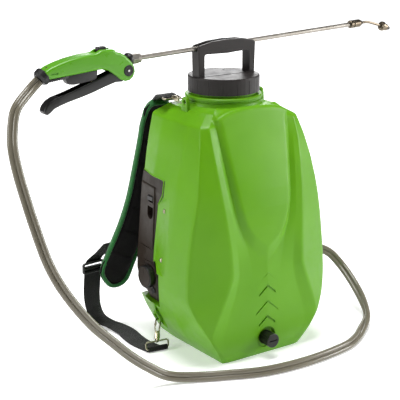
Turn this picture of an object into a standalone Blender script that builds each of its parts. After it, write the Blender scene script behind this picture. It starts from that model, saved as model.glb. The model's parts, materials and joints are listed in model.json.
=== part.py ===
"""Battery backpack sprayer: tank, pump module, cap, trigger lance, hose and carrying straps.

Metres, +Z up. The origin is the middle of the tank's flat base, under the axis of the neck.
-Y is the front face with the raised panel, +Y the side against the wearer's back.
"""

import math

import bmesh
import bpy
from mathutils import Matrix, Vector

GAP = 0.0005
LEFT = -1
RIGHT = 1

# Tank, one row per height: half widths and depths of the outline from the front to the back.
# height, front, valley, inner edge of the ridge, crest of the ridge, corner, side, rear side, back
TANK_ROWS = [
    (0.000, -0.1180, (0.036, -0.1180), (0.060, -0.1175), (0.073, -0.1165), (0.083, -0.112), 0.084, 0.084,
     (0.079, 0.084)),
    (0.010, -0.1250, (0.040, -0.1245), (0.070, -0.1235), (0.083, -0.1220), (0.091, -0.118), 0.096, 0.094,
     (0.087, 0.086)),
    (0.030, -0.1310, (0.050, -0.1300), (0.088, -0.1270), (0.100, -0.1265), (0.106, -0.123), 0.114, 0.110,
     (0.097, 0.088)),
    (0.058, -0.1330, (0.045, -0.1320), (0.087, -0.1285), (0.1155, -0.1285), (0.1225, -0.124), 0.131,
     0.125, (0.110, 0.089)),
    (0.090, -0.1335, (0.040, -0.1325), (0.079, -0.1290), (0.1035, -0.1345), (0.140, -0.116), 0.146, 0.139,
     (0.122, 0.090)),
    (0.122, -0.1335, (0.034, -0.1320), (0.067, -0.1290), (0.0900, -0.1360), (0.152, -0.105), 0.154, 0.147,
     (0.129, 0.091)),
    (0.165, -0.1325, (0.030, -0.1305), (0.057, -0.1275), (0.0745, -0.1360), (0.1505, -0.103), 0.152,
     0.146, (0.126, 0.091)),
    (0.205, -0.1290, (0.040, -0.1265), (0.062, -0.1260), (0.0775, -0.1335), (0.146, -0.103), 0.148, 0.142,
     (0.122, 0.091)),
    (0.245, -0.1225, (0.053, -0.1210), (0.068, -0.1215), (0.0810, -0.1280), (0.140, -0.103), 0.143, 0.137,
     (0.117, 0.091)),
    (0.300, -0.1110, (0.063, -0.1100), (0.074, -0.1120), (0.0860, -0.1170), (0.129, -0.102), 0.133, 0.127,
     (0.111, 0.090)),
    (0.345, -0.0995, (0.068, -0.0990), (0.078, -0.1015), (0.0890, -0.1055), (0.1195, -0.0945), 0.1235,
     0.119, (0.105, 0.089)),
    (0.385, -0.0900, (0.073, -0.0895), (0.082, -0.0905), (0.0915, -0.0935), (0.110, -0.0840), 0.1145,
     0.111, (0.099, 0.087)),
    (0.411, -0.0820, (0.0745, -0.0820), (0.083, -0.0820), (0.0900, -0.0820), (0.1025, -0.0745), 0.106,
     0.103, (0.094, 0.085)),
    (0.4285, -0.0640, (0.052, -0.0640), (0.060, -0.0635), (0.065, -0.0620), (0.074, -0.053), 0.078, 0.077,
     (0.070, 0.064)),
]
SIDE_Y = -0.045
REAR_SIDE_Y = 0.035
TANK_WALL = 0.003
SKIPPED_INSIDE = (1, 4, 7, 9, 11)

# Raised front panel: height, half width and depth at the foot of its edge, at its face, depth at the middle.
PANEL_ROWS = [
    (0.176, (0.003, -0.1300), (0.0015, -0.1310), -0.1312),
    (0.203, (0.032, -0.1285), (0.0040, -0.1320), -0.1325),
    (0.220, (0.043, -0.1265), (0.0230, -0.1310), -0.1320),
    (0.240, (0.0515, -0.1235), (0.0390, -0.1290), -0.1310),
    (0.270, (0.0585, -0.1175), (0.0505, -0.1245), -0.1270),
    (0.300, (0.0630, -0.1110), (0.0555, -0.1180), -0.1205),
    (0.345, (0.0685, -0.0990), (0.0610, -0.1065), -0.1085),
    (0.385, (0.0730, -0.0895), (0.0665, -0.0955), -0.0970),
    (0.4265, (0.0750, -0.0800), (0.0700, -0.0850), -0.0865),
]
PANEL_BACK_DEPTH = 0.0065
PANEL_CROWN = 0.0085

NECK_R = 0.0660
NECK_THREAD_R = 0.0572
NECK_BORE_R = 0.0500
NECK_TOP = 0.4720
CAP_R = 0.0625
CAP_BOTTOM = 0.4530
CAP_TOP = 0.4810

HANDLE_HALF_DEPTH = 0.0108
HANDLE_GAP_HALF = 0.0480
GROOVE_HALF = 0.0056
GROOVE_FLOOR = 0.5248
VENT_XY = (0.022, 0.031)

# Pump module: height, front, back, half width at the front, middle and back.
MODULE_ROWS = [
    (0.0774, 0.0224, 0.0860, 0.1215, 0.1190, 0.1060),
    (0.0950, 0.0224, 0.0950, 0.1270, 0.1260, 0.1170),
    (0.1250, 0.0224, 0.0980, 0.1290, 0.1285, 0.1220),
    (0.1480, 0.0344, 0.0980, 0.1280, 0.1280, 0.1215),
    (0.2620, 0.0224, 0.0955, 0.1225, 0.1205, 0.1130),
    (0.2810, -0.0026, 0.0945, 0.1250, 0.1195, 0.1120),
    (0.3086, -0.0026, 0.0930, 0.1220, 0.1160, 0.1080),
]
MODULE_MIDDLE_Y = 0.058
MODULE_WALL = 0.003

BATTERY_Y = (0.0345, 0.0880)
BATTERY_Z = (0.1740, 0.2880)
BATTERY_INNER_X = -0.030
KNOB_Y = 0.0470
KNOB_Z = 0.1225
KNOB_R = 0.0205
KNOB_FACE_X = -0.1390
OUTLET_Y = 0.0520
OUTLET_Z = 0.1180

DRAIN_Z = 0.0340
DRAIN_RECESS_R = 0.0192
DRAIN_R = 0.0127
DRAIN_FRONT_Y = -0.1500

LANCE_Z = 0.5315
LANCE_TILT = math.radians(2.1)
LANCE_R = 0.0040
LANCE_END_X = 0.2930
PIVOT_X = -0.2020
PIVOT_Z = -0.0155

HOSE_R = 0.0064
WEBBING_T = 0.0016
WEBBING_HALF = 0.0185
TOP_WEBBING_HALF = 0.0150
WIRE_R = 0.0016

COLORS = {
    "tank_green": ((0.25, 0.55, 0.03), 0.42, 0.0),
    "gun_green": ((0.22, 0.55, 0.03), 0.38, 0.0),
    "module_grey": ((0.12, 0.105, 0.095), 0.5, 0.0),
    "cap_grey": ((0.07, 0.06, 0.055), 0.45, 0.0),
    "black_plastic": ((0.015, 0.015, 0.015), 0.45, 0.0),
    "white_plastic": ((0.75, 0.75, 0.72), 0.4, 0.0),
    "steel": ((0.62, 0.6, 0.56), 0.3, 1.0),
    "zinc": ((0.62, 0.55, 0.4), 0.35, 1.0),
    "brass": ((0.7, 0.52, 0.22), 0.3, 1.0),
    "hose": ((0.42, 0.38, 0.3), 0.35, 0.0),
    "rubber": ((0.02, 0.02, 0.02), 0.7, 0.0),
    "webbing": ((0.012, 0.012, 0.012), 0.85, 0.0),
    "pad_fabric": ((0.02, 0.06, 0.02), 0.9, 0.0),
    "board_green": ((0.02, 0.16, 0.06), 0.5, 0.0),
}


def clear_scene():
    for obj in list(bpy.data.objects):
        bpy.data.objects.remove(obj, do_unlink=True)


def make_collection(name):
    made = bpy.data.collections.new(name)
    bpy.context.scene.collection.children.link(made)
    return made


clear_scene()
PARTS = make_collection("backpack_sprayer")
CUTTERS = make_collection("cutters")


def make_material(name):
    color, roughness, metallic = COLORS[name]
    made = bpy.data.materials.new(name)
    made.use_nodes = True
    shader = made.node_tree.nodes["Principled BSDF"]
    shader.inputs["Base Color"].default_value = (*color, 1.0)
    shader.inputs["Roughness"].default_value = roughness
    shader.inputs["Metallic"].default_value = metallic
    made.diffuse_color = (*color, 1.0)
    return made


MATERIALS = {name: make_material(name) for name in COLORS}


def add_object(name, data, slot):
    """Links new data as a part in the given material, or as a cutter when slot is None."""
    obj = bpy.data.objects.new(name, data)
    if slot is None:
        CUTTERS.objects.link(obj)
        obj.hide_render = True
        obj.display_type = "WIRE"
    else:
        PARTS.objects.link(obj)
        data.materials.append(MATERIALS[slot])
    return obj


def finish_mesh(name, bm, slot, smooth_deg=30):
    bmesh.ops.recalc_face_normals(bm, faces=bm.faces)
    mesh = bpy.data.meshes.new(name)
    bm.to_mesh(mesh)
    bm.free()
    mesh.shade_smooth()
    mesh.set_sharp_from_angle(angle=math.radians(smooth_deg))
    return add_object(name, mesh, slot)


def set_origin(obj, point):
    """Moves the object's origin to a point, leaving its shape where it is."""
    obj.data.transform(Matrix.Translation(-Vector(point)))
    obj.location = Vector(point)
    return obj


def ride(obj, parent):
    obj.parent = parent
    return obj


def carry_cutters(parent):
    """Gives the Boolean operands of every piece on this parent the same parent, so they share its frame."""
    waiting = [child for child in PARTS.objects if child.parent == parent]
    while waiting:
        piece = waiting.pop()
        for mod in piece.modifiers:
            if mod.type == "BOOLEAN" and mod.object.parent is None:
                mod.object.parent = parent
                waiting.append(mod.object)


def bevel(obj, width, segments=2, angle_deg=35):
    mod = obj.modifiers.new("bevel", "BEVEL")
    mod.width = width
    mod.segments = segments
    mod.limit_method = "ANGLE"
    mod.angle_limit = math.radians(angle_deg)
    return obj


def boolean(obj, other, operation):
    mod = obj.modifiers.new(operation.lower(), "BOOLEAN")
    mod.operation = operation
    mod.object = other
    mod.solver = "EXACT"
    return obj


def cut(obj, other):
    return boolean(obj, other, "DIFFERENCE")


def join(obj, other):
    return boolean(obj, other, "UNION")


def box(name, low, high, slot=None):
    bm = bmesh.new()
    bmesh.ops.create_cube(bm, size=1.0)
    size = Vector(high) - Vector(low)
    bmesh.ops.scale(bm, vec=size, verts=bm.verts)
    bmesh.ops.translate(bm, vec=(Vector(high) + Vector(low)) / 2, verts=bm.verts)
    return finish_mesh(name, bm, slot)


def cone_between(name, start, end, r_start, r_end, slot=None, segments=40):
    """A closed cylinder or cone from one point to another."""
    start = Vector(start)
    end = Vector(end)
    axis = end - start
    bm = bmesh.new()
    bmesh.ops.create_cone(bm, cap_ends=True, segments=segments, radius1=r_start, radius2=r_end,
                          depth=axis.length)
    turn = Vector((0, 0, 1)).rotation_difference(axis.normalized()).to_matrix().to_4x4()
    bmesh.ops.transform(bm, matrix=Matrix.Translation((start + end) / 2) @ turn, verts=bm.verts)
    return finish_mesh(name, bm, slot)


def rod(name, start, end, radius, slot=None, segments=40):
    return cone_between(name, start, end, radius, radius, slot, segments)


def turned(name, profile, start, direction, slot=None, steps=48):
    """Spins a closed profile of (radius, distance along the axis) about an axis through start."""
    bm = bmesh.new()
    verts = [bm.verts.new((radius, 0.0, along)) for radius, along in profile]
    for first, second in zip(verts, verts[1:] + verts[:1]):
        bm.edges.new((first, second))
    bmesh.ops.spin(bm, geom=bm.verts[:] + bm.edges[:], cent=(0, 0, 0), axis=(0, 0, 1),
                   angle=math.tau, steps=steps, use_merge=True)
    bmesh.ops.remove_doubles(bm, verts=bm.verts, dist=1e-6)
    degenerate = [face for face in bm.faces if face.calc_area() < 1e-12]
    bmesh.ops.delete(bm, geom=degenerate, context="FACES_ONLY")
    bmesh.ops.delete(bm, geom=[edge for edge in bm.edges if not edge.link_faces], context="EDGES")
    turn = Vector((0, 0, 1)).rotation_difference(Vector(direction).normalized()).to_matrix().to_4x4()
    bmesh.ops.transform(bm, matrix=Matrix.Translation(Vector(start)) @ turn, verts=bm.verts)
    return finish_mesh(name, bm, slot)


def ring_profile(inner, outer, low, high):
    return [(inner, low), (outer, low), (outer, high), (inner, high)]


def prism(name, outline, axis, low, high, slot=None):
    """Extrudes an outline along X or Y: points are (y, z) for X and (x, z) for Y."""
    bm = bmesh.new()
    caps = []
    for along in (low, high):
        if axis == "X":
            ring = [bm.verts.new((along, first, second)) for first, second in outline]
        elif axis == "Y":
            ring = [bm.verts.new((first, along, second)) for first, second in outline]
        else:
            ring = [bm.verts.new((first, second, along)) for first, second in outline]
        caps.append(ring)
    loft_rings(bm, caps)
    return finish_mesh(name, bm, slot)


def loft_rings(bm, rings):
    """Closes a stack of equal rings with side faces and a cap at each end."""
    count = len(rings[0])
    for lower, upper in zip(rings, rings[1:]):
        for i in range(count):
            j = (i + 1) % count
            bm.faces.new((lower[i], lower[j], upper[j], upper[i]))
    bm.faces.new(list(reversed(rings[0])))
    bm.faces.new(rings[-1])


def tube(name, points, radius, slot=None, bevel_resolution=3, closed=False):
    curve = bpy.data.curves.new(name, "CURVE")
    curve.dimensions = "3D"
    curve.bevel_depth = radius
    curve.bevel_resolution = bevel_resolution
    curve.use_fill_caps = not closed
    spline = curve.splines.new("POLY")
    spline.points.add(len(points) - 1)
    for place, point in zip(spline.points, points):
        place.co = (*point, 1.0)
    spline.use_cyclic_u = closed
    obj = add_object(name, curve, slot)
    return obj


def smooth_path(points, per_span):
    """Points along a Catmull-Rom curve through the given route points."""
    pts = [Vector(p) for p in points]
    pts = [2 * pts[0] - pts[1]] + pts + [2 * pts[-1] - pts[-2]]
    made = []
    for a, b, c, d in zip(pts, pts[1:], pts[2:], pts[3:]):
        for step in range(per_span):
            t = step / per_span
            made.append(0.5 * (2 * b + (c - a) * t + (2 * a - 5 * b + 4 * c - d) * t * t
                               + (3 * b - a - 3 * c + d) * t ** 3))
    made.append(pts[-2])
    return made


def even_path(points, spacing):
    """The same route with points an even distance apart."""
    lengths = [0.0]
    for first, second in zip(points, points[1:]):
        lengths.append(lengths[-1] + (second - first).length)
    count = max(2, round(lengths[-1] / spacing))
    made = []
    index = 0
    for step in range(count + 1):
        wanted = lengths[-1] * step / count
        while index < len(points) - 2 and lengths[index + 1] < wanted:
            index += 1
        span = lengths[index + 1] - lengths[index]
        made.append(points[index].lerp(points[index + 1], (wanted - lengths[index]) / span))
    return made


def arc(center, radius, start_deg, end_deg, steps):
    made = []
    for step in range(steps + 1):
        angle = math.radians(start_deg + (end_deg - start_deg) * step / steps)
        made.append((center[0] + radius * math.cos(angle), center[1] + radius * math.sin(angle)))
    return made


def mirror_x(point, side):
    """Route points are written for the left side, so the right side flips them."""
    return Vector((point[0] * -side, point[1], point[2]))


# ---------------------------------------------------------------- tank

def tank_ring(row, inset, lift):
    height, front, valley, inner, crest, corner, side, rear_side, back = row
    half = [valley, inner, crest, corner, (side, SIDE_Y), (rear_side, REAR_SIDE_Y), back]
    right = [Vector((x, y)) for x, y in half]
    left = [Vector((-x, y)) for x, y in reversed(half)]
    ring = [Vector((0.0, front))] + right + [Vector((0.0, back[1]))] + left
    if inset:
        moved = []
        for i, point in enumerate(ring):
            before = (point - ring[i - 1]).normalized()
            after = (ring[(i + 1) % len(ring)] - point).normalized()
            along = (before + after).normalized()
            moved.append(point + Vector((-along.y, along.x)) * inset)
        ring = moved
    return [(point.x, point.y, height + lift) for point in ring]


def tank_body(name, rows, inset):
    bm = bmesh.new()
    rings = []
    last = len(rows) - 1
    for number, row in enumerate(rows):
        lift = 0.0
        if inset:
            lift = inset if number == 0 else (-inset if number >= last - 1 else 0.0)
        rings.append([bm.verts.new(co) for co in tank_ring(row, inset, lift)])
    loft_rings(bm, rings)
    creases = bm.edges.layers.float.new("crease_edge")
    count = len(rings[0])
    # columns in ring order: front, valley, inner, crest, corner, side, rear side, back, middle of the back
    column_crease = {3: 0.55, 4: 0.5, 7: 0.6, 2: 0.45}
    ring_crease = {0: 1.0, last - 1: 0.75}
    for number, ring in enumerate(rings):
        for i in range(count):
            if number in ring_crease:
                bm.edges.get((ring[i], ring[(i + 1) % count]))[creases] = ring_crease[number]
            mirrored = min(i, count - i)
            if number < last and mirrored in column_crease:
                bm.edges.get((ring[i], rings[number + 1][i]))[creases] = column_crease[mirrored]
    obj = finish_mesh(name, bm, "tank_green" if not inset else None, 50)
    mod = obj.modifiers.new("subsurf", "SUBSURF")
    mod.levels = 1
    mod.render_levels = 1
    return obj


def front_panel():
    bm = bmesh.new()
    rings = []
    last = len(PANEL_ROWS) - 1
    for number, (height, foot, face, middle) in enumerate(PANEL_ROWS):
        deep = foot[1] + PANEL_BACK_DEPTH
        crown = PANEL_CROWN if number == last else 0.0
        mid_x = face[0] / 2
        mid_y = (face[1] + 3 * middle) / 4
        sunk = (foot[0] - 0.008, deep + 0.012, height - 0.018) if number == last else (foot[0], deep,
                                                                                       height)
        ring = [(-sunk[0], *sunk[1:]), (-foot[0], foot[1], height), (-face[0], face[1], height),
                (-mid_x, mid_y, height + crown * 0.8), (0.0, middle, height + crown),
                (mid_x, mid_y, height + crown * 0.8), (face[0], face[1], height),
                (foot[0], foot[1], height), sunk]
        rings.append([bm.verts.new(co) for co in ring])
    # the top edge runs back over the shoulder towards the neck
    top = [(-0.056, -0.050, 0.4120), (-0.064, -0.058, 0.4270), (-0.058, -0.060, 0.4290),
           (-0.032, -0.056, 0.4345), (0.0, -0.054, 0.4370), (0.032, -0.056, 0.4345),
           (0.058, -0.060, 0.4290), (0.064, -0.058, 0.4270), (0.056, -0.050, 0.4120)]
    rings.append([bm.verts.new(co) for co in top])
    loft_rings(bm, rings)
    bmesh.ops.triangulate(bm, faces=bm.faces)
    return finish_mesh("panel_form", bm, None, 25)


def recess_form(name, grow, reach):
    """The space cut out of the tank for the pump module, grown on every side."""
    top = MODULE_ROWS[-1][0] + GAP + grow
    bottom = MODULE_ROWS[0][0] - GAP - grow
    edge = [(row[1] - GAP - grow, row[0]) for row in MODULE_ROWS]
    edge[0] = (edge[0][0], bottom)
    edge[-1] = (edge[-1][0], top)
    outline = edge + [(0.16, top), (0.16, bottom)]
    obj = prism(name, outline, "X", -0.2, 0.2)
    for side in (LEFT, RIGHT):
        wedge = [(side * (0.120 - reach), 0.030 + reach), (side * (0.1225 - reach), 0.0215 - grow),
                 (side * 0.151, -0.043 - grow * 2.2), (side * 0.20, -0.043 - grow * 2.2),
                 (side * 0.20, 0.12), (side * (0.120 - reach), 0.12)]
        low = 0.1270 - grow
        high = 0.2700 + grow
        form = prism(f"{name}_wedge_{side + 1}", wedge, "Z", low, high)
        # the ends of the flange slope in towards the module
        form = cut(form, prism(f"{name}_foot_{side + 1}",
                               [(-0.09, low - 0.001), (0.032, low - 0.001), (-0.09, low + 0.038)],
                               "X", -0.25, 0.25))
        form = cut(form, prism(f"{name}_head_{side + 1}",
                               [(-0.09, high + 0.001), (0.032, high + 0.001), (-0.09, high - 0.020)],
                               "X", -0.25, 0.25))
        join(obj, form)
    return obj


def make_tank():
    tank = tank_body("tank", TANK_ROWS, 0.0)
    join(tank, front_panel())
    neck = turned("neck_form", [(0.040, 0.418), (NECK_R + 0.003, 0.418), (NECK_R + 0.001, 0.4300),
                                (NECK_R + 0.0012, 0.4365), (NECK_R - 0.0006, 0.4375),
                                (NECK_R - 0.0006, 0.4410),
                                (NECK_R + 0.0012, 0.4420), (NECK_R + 0.0012, 0.4465),
                                (NECK_R - 0.0035, 0.4480),
                                (NECK_THREAD_R, 0.4490), (NECK_THREAD_R, 0.4580),
                                (NECK_THREAD_R + 0.0013, 0.4592), (NECK_THREAD_R, 0.4604),
                                (NECK_THREAD_R, NECK_TOP), (0.040, NECK_TOP)],
                  (0, 0, 0), (0, 0, 1), None, 36)
    join(tank, neck)
    for side in (LEFT, RIGHT):
        lug = box(f"lug_form_{side + 1}", (-0.0030, -0.0080, 0.4170), (0.0030, 0.0080, 0.4490))
        lug.location.x = side * 0.0800
        bevel(lug, 0.0020)
        join(tank, lug)
        hole = rod(f"lug_hole_{side + 1}", (-0.01, 0.0, 0.4405), (0.01, 0.0, 0.4405), 0.0038)
        hole.location.x = side * 0.0800
        cut(tank, hole)
    # liquid space, kept a wall away from the module recess
    hollow = tank_body("hollow_form", [row for i, row in enumerate(TANK_ROWS) if i not in SKIPPED_INSIDE],
                       TANK_WALL)
    cut(hollow, recess_form("recess_wall", TANK_WALL, 0.006))
    join(hollow, rod("neck_bore", (0, 0, 0.405), (0, 0, 0.48), NECK_BORE_R, None, 64))
    for side in (LEFT, RIGHT):
        boss = box(f"eyelet_boss_{side + 1}", (-0.024, 0.006, 0.018), (0.024, 0.054, 0.078))
        boss.location.x = side * 0.120
        cut(hollow, boss)
    cut(hollow, rod("drain_boss", (0, -0.20, DRAIN_Z), (0, -0.108, DRAIN_Z), 0.0235))
    cut(tank, hollow)
    cut(tank, recess_form("recess_cut", 0.0, 0.0))
    make_eyelets(tank)
    make_chevrons(tank)
    # drain: round recess on the front and a bore through the wall
    cut(tank, rod("drain_recess", (0, -0.17, DRAIN_Z), (0, -0.1235, DRAIN_Z), DRAIN_RECESS_R, None, 48))
    cut(tank, rod("drain_bore", (0, -0.17, DRAIN_Z), (0, -0.09, DRAIN_Z), 0.0072, None, 32))
    # suction port through the front wall of the recess, and the holes for the flange screws
    cut(tank, rod("suction_port", (0.045, 0.0, 0.0990), (0.045, 0.05, 0.0990), 0.0064, None, 32))
    for side in (LEFT, RIGHT):
        for height in SCREW_HEIGHTS:
            start, normal = screw_place(side, height)
            cut(tank, rod(f"screw_hole_{side + 1}_{int(height * 1000)}", start - normal * 0.0050,
                          start + normal * 0.01, 0.0019, None, 24))
    return tank


SCREW_HEIGHTS = (0.1640, 0.2560)


def screw_place(side, height):
    """Where a flange screw sits and the direction it faces, on the sloping wall of the recess."""
    wall_start = Vector((side * 0.1225, 0.0215))
    wall_end = Vector((side * 0.151, -0.043))
    along = (wall_end - wall_start).normalized()
    place = wall_start + along * 0.026
    normal = Vector((side * abs(along.y), abs(along.x)))
    return Vector((place.x, place.y, height)), Vector((normal.x, normal.y, 0.0))


EYELET = Vector((-0.1225, 0.0300, 0.0500))
EYELET_POCKET = [(-0.1360, 0.0340, 0.0850), (-0.1600, 0.0600, 0.0420), (-0.1600, 0.0020, 0.0380),
                 (-0.1000, 0.0180, -0.0040), (-0.1000, 0.0480, -0.0040), (-0.1160, 0.0440, 0.0620),
                 (-0.1170, 0.0180, 0.0580), (-0.1040, 0.0240, 0.0340), (-0.1040, 0.0420, 0.0340)]


def make_eyelets(tank):
    """A dished pocket low on each side with a small loop in it for the lower strap hook."""
    for side in (LEFT, RIGHT):
        center = mirror_x(EYELET, side)
        pocket = bmesh.new()
        for point in EYELET_POCKET:
            pocket.verts.new(mirror_x(point, side))
        hull = bmesh.ops.convex_hull(pocket, input=pocket.verts)
        loose = [item for item in hull["geom_interior"] if isinstance(item, bmesh.types.BMVert)]
        bmesh.ops.delete(pocket, geom=loose, context="VERTS")
        cutter = finish_mesh(f"eyelet_pocket_{side + 1}", pocket, None)
        cut(tank, cutter)
        loop_points = []
        for step in range(14):
            angle = math.tau * step / 14
            loop_points.append(center + Vector((0.0, 0.0078 * math.cos(angle), 0.0078 * math.sin(angle)))
                               + Vector((side * 0.45 * 0.0078 * math.sin(angle), 0, 0)))
        anchor = rod(f"eyelet_anchor_{side + 1}", center + Vector((side * -0.012, 0, 0.0085)),
                     center + Vector((side * 0.0045, 0, 0.0105)), 0.0028, None, 12)
        loop = solid_from_curve(tube(f"eyelet_loop_{side + 1}", loop_points, 0.0022, None, 1, True))
        join(tank, anchor)
        join(tank, loop)


def solid_from_curve(curve_obj):
    """A curve as a plain mesh that a Boolean can use."""
    depsgraph = bpy.context.evaluated_depsgraph_get()
    mesh = bpy.data.meshes.new_from_object(curve_obj.evaluated_get(depsgraph))
    bm = bmesh.new()
    bm.from_mesh(mesh)
    bmesh.ops.remove_doubles(bm, verts=bm.verts, dist=1e-6)
    bmesh.ops.recalc_face_normals(bm, faces=bm.faces)
    bm.to_mesh(mesh)
    bm.free()
    name = curve_obj.name
    world = curve_obj.matrix_world.copy()
    was_part = PARTS in curve_obj.users_collection
    slots = [slot.material for slot in curve_obj.material_slots]
    bpy.data.objects.remove(curve_obj, do_unlink=True)
    obj = bpy.data.objects.new(name, mesh)
    obj.matrix_world = world
    if was_part:
        PARTS.objects.link(obj)
        mesh.materials.clear()
        for slot in slots:
            mesh.materials.append(slot)
    else:
        CUTTERS.objects.link(obj)
        obj.hide_render = True
        obj.display_type = "WIRE"
    return obj


CHEVRONS = ((0.1560, 0.034), (0.1330, 0.018), (0.1040, 0.022), (0.0770, 0.018))
CHEVRON_DROP = 0.86
CHEVRON_WIDTH = 0.0030
CHEVRON_FLOOR_Y = -0.1303


def make_chevrons(tank):
    for number, (apex, reach) in enumerate(CHEVRONS):
        drop = reach * CHEVRON_DROP
        outline = [(0, apex), (reach, apex - drop), (reach, apex - drop - CHEVRON_WIDTH),
                   (0, apex - CHEVRON_WIDTH * 1.3), (-reach, apex - drop - CHEVRON_WIDTH),
                   (-reach, apex - drop)]
        cut(tank, prism(f"chevron_{number}", outline, "Y", -0.16, CHEVRON_FLOOR_Y))


# ---------------------------------------------------------------- parts on the tank

def make_drain():
    plug = rod("drain_plug", (0, DRAIN_FRONT_Y, DRAIN_Z), (0, -0.1256, DRAIN_Z), DRAIN_R, "black_plastic",
               32)
    bevel(plug, 0.0009, 2)
    join(plug, rod("drain_stem", (0, -0.127, DRAIN_Z), (0, -0.1035, DRAIN_Z), 0.0066, None, 32))
    for step in range(6):
        angle = math.tau * (step + 0.37) / 6
        place = Vector((math.cos(angle) * (DRAIN_R + 0.0007), 0,
                        DRAIN_Z + math.sin(angle) * (DRAIN_R + 0.0007)))
        flute = rod(f"drain_flute_{step}", place + Vector((0, -0.1465, 0)), place + Vector((0, -0.1300, 0)),
                    0.0016, None, 12)
        cut(plug, flute)
    slot = box("drain_slot", (-0.0085, -0.16, DRAIN_Z - 0.0011),
               (0.0085, DRAIN_FRONT_Y + 0.0022, DRAIN_Z + 0.0011))
    cut(plug, slot)
    set_origin(plug, (0, 0, DRAIN_Z))
    turned("drain_gasket", ring_profile(0.0075, 0.0118, -0.1253, -0.1238), (0, 0, DRAIN_Z), (0, 1, 0),
           "rubber", 24)


def make_strainer():
    strainer = turned("strainer_basket",
                      [(0.0, 0.4020), (0.0405, 0.4020), (0.0470, 0.4715), (0.0505, 0.4723),
                                          (0.0554, 0.4723), (0.0554, 0.4740), (0.0452, 0.4740),
                                          (0.0388, 0.4036),
                                          (0.0, 0.4036)],
                      (0, 0, 0), (0, 0, 1), "black_plastic", 28)
    for step in range(12):
        window = box(f"strainer_window_{step}", (0.0300, -0.0034, 0.4090), (0.0620, 0.0034, 0.4600))
        window.rotation_euler.z = math.tau * (step + 0.31) / 12
        cut(strainer, window)
    return strainer


def make_cap():
    cap = turned("cap", [(0.0, 0.4768), (0.0592, 0.4768), (0.0592, CAP_BOTTOM), (CAP_R, CAP_BOTTOM),
                         (CAP_R, CAP_TOP - 0.0022), (CAP_R - 0.0007, CAP_TOP - 0.0007),
                         (CAP_R - 0.0022, CAP_TOP), (0.0, CAP_TOP)],
                 (0, 0, 0), (0, 0, 1), "cap_grey", 48)
    for step in range(16):
        angle = math.tau * (step + 0.37) / 16
        place = Vector((math.cos(angle), math.sin(angle), 0)) * (CAP_R + 0.0007)
        cut(cap, rod(f"cap_flute_{step}", place + Vector((0, 0, CAP_BOTTOM - 0.001)),
                     place + Vector((0, 0, CAP_TOP - 0.0040)), 0.0013, None, 8))
    outline = [(-0.0590, 0.4795), (0.0590, 0.4795), (0.0603, 0.5260)]
    outline += arc((0.0543, 0.5300), 0.0062, -10, 78, 5)
    outline += [(0.0300, 0.5405), (0.0, 0.5415), (-0.0300, 0.5400)]
    outline += arc((-0.0543, 0.5290), 0.0062, 104, 190, 5)
    outline += [(-0.0603, 0.5260)]
    handle = prism("handle_form", outline, "Y", -HANDLE_HALF_DEPTH, HANDLE_HALF_DEPTH)
    bevel(handle, 0.0016, 2, 40)
    join(cap, handle)
    gap_outline = [(-HANDLE_GAP_HALF, 0.4815), (HANDLE_GAP_HALF, 0.4815)]
    gap_outline += arc((HANDLE_GAP_HALF - 0.0035, 0.5163), 0.0035, 0, 90, 3)
    gap_outline += [(0.022, 0.5192), (0.0, 0.5180), (-0.022, 0.5188)]
    gap_outline += arc((-HANDLE_GAP_HALF + 0.0035, 0.5160), 0.0035, 90, 180, 3)
    gap = prism("handle_gap", gap_outline, "Y", -0.03, 0.03)
    cut(cap, gap)
    cut(cap, box("handle_groove", (-0.07, -GROOVE_HALF, GROOVE_FLOOR), (0.07, GROOVE_HALF, 0.56)))
    cut(cap, rod("vent_hole", (*VENT_XY, 0.470), (*VENT_XY, 0.490), 0.0022, None, 20))
    return cap


def make_cap_parts():
    turned("cap_gasket", ring_profile(0.0562, 0.0586, 0.4725, 0.4764), (0, 0, 0), (0, 0, 1), "rubber", 32)
    valve = turned("vent_valve", [(0.0, 0.4720), (0.0052, 0.4735), (0.0060, 0.4750), (0.0060, 0.4764),
                                  (0.0018, 0.4764), (0.0018, 0.4788), (0.0, 0.4788)],
                   (*VENT_XY, 0.0), (0, 0, 1), "rubber", 24)
    return valve


# ---------------------------------------------------------------- pump module

def module_form(name, shrink, slot, front_open=0.0):
    bm = bmesh.new()
    rings = []
    last = len(MODULE_ROWS) - 1
    for number, (height, front, back, half_front, half_mid, half_back) in enumerate(MODULE_ROWS):
        z = height
        if number == 0:
            z += shrink
        if number == last:
            z -= shrink
        y_front = front - front_open
        ring = [(-half_front + shrink, y_front, z), (half_front - shrink, y_front, z),
                (half_mid - shrink, MODULE_MIDDLE_Y, z), (half_back - shrink, back - shrink, z),
                (-half_back + shrink, back - shrink, z), (-half_mid + shrink, MODULE_MIDDLE_Y, z)]
        rings.append([bm.verts.new(co) for co in ring])
    loft_rings(bm, rings)
    bmesh.ops.triangulate(bm, faces=bm.faces)
    return finish_mesh(name, bm, slot, 25)


def side_x(y, z):
    """Half width of the module at a point of its side."""
    for low, high in zip(MODULE_ROWS, MODULE_ROWS[1:]):
        if low[0] <= z <= high[0]:
            t = (z - low[0]) / (high[0] - low[0])
            front, back, half_front, half_mid, half_back = [a + (b - a) * t for a,
                                                            b in zip(low[1:], high[1:])]
            if y < MODULE_MIDDLE_Y:
                s = max(0.0, (y - front) / (MODULE_MIDDLE_Y - front))
                return half_front + (half_mid - half_front) * s
            s = (y - MODULE_MIDDLE_Y) / (back - MODULE_MIDDLE_Y)
            return half_mid + (half_back - half_mid) * s
    raise ValueError(z)


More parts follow.
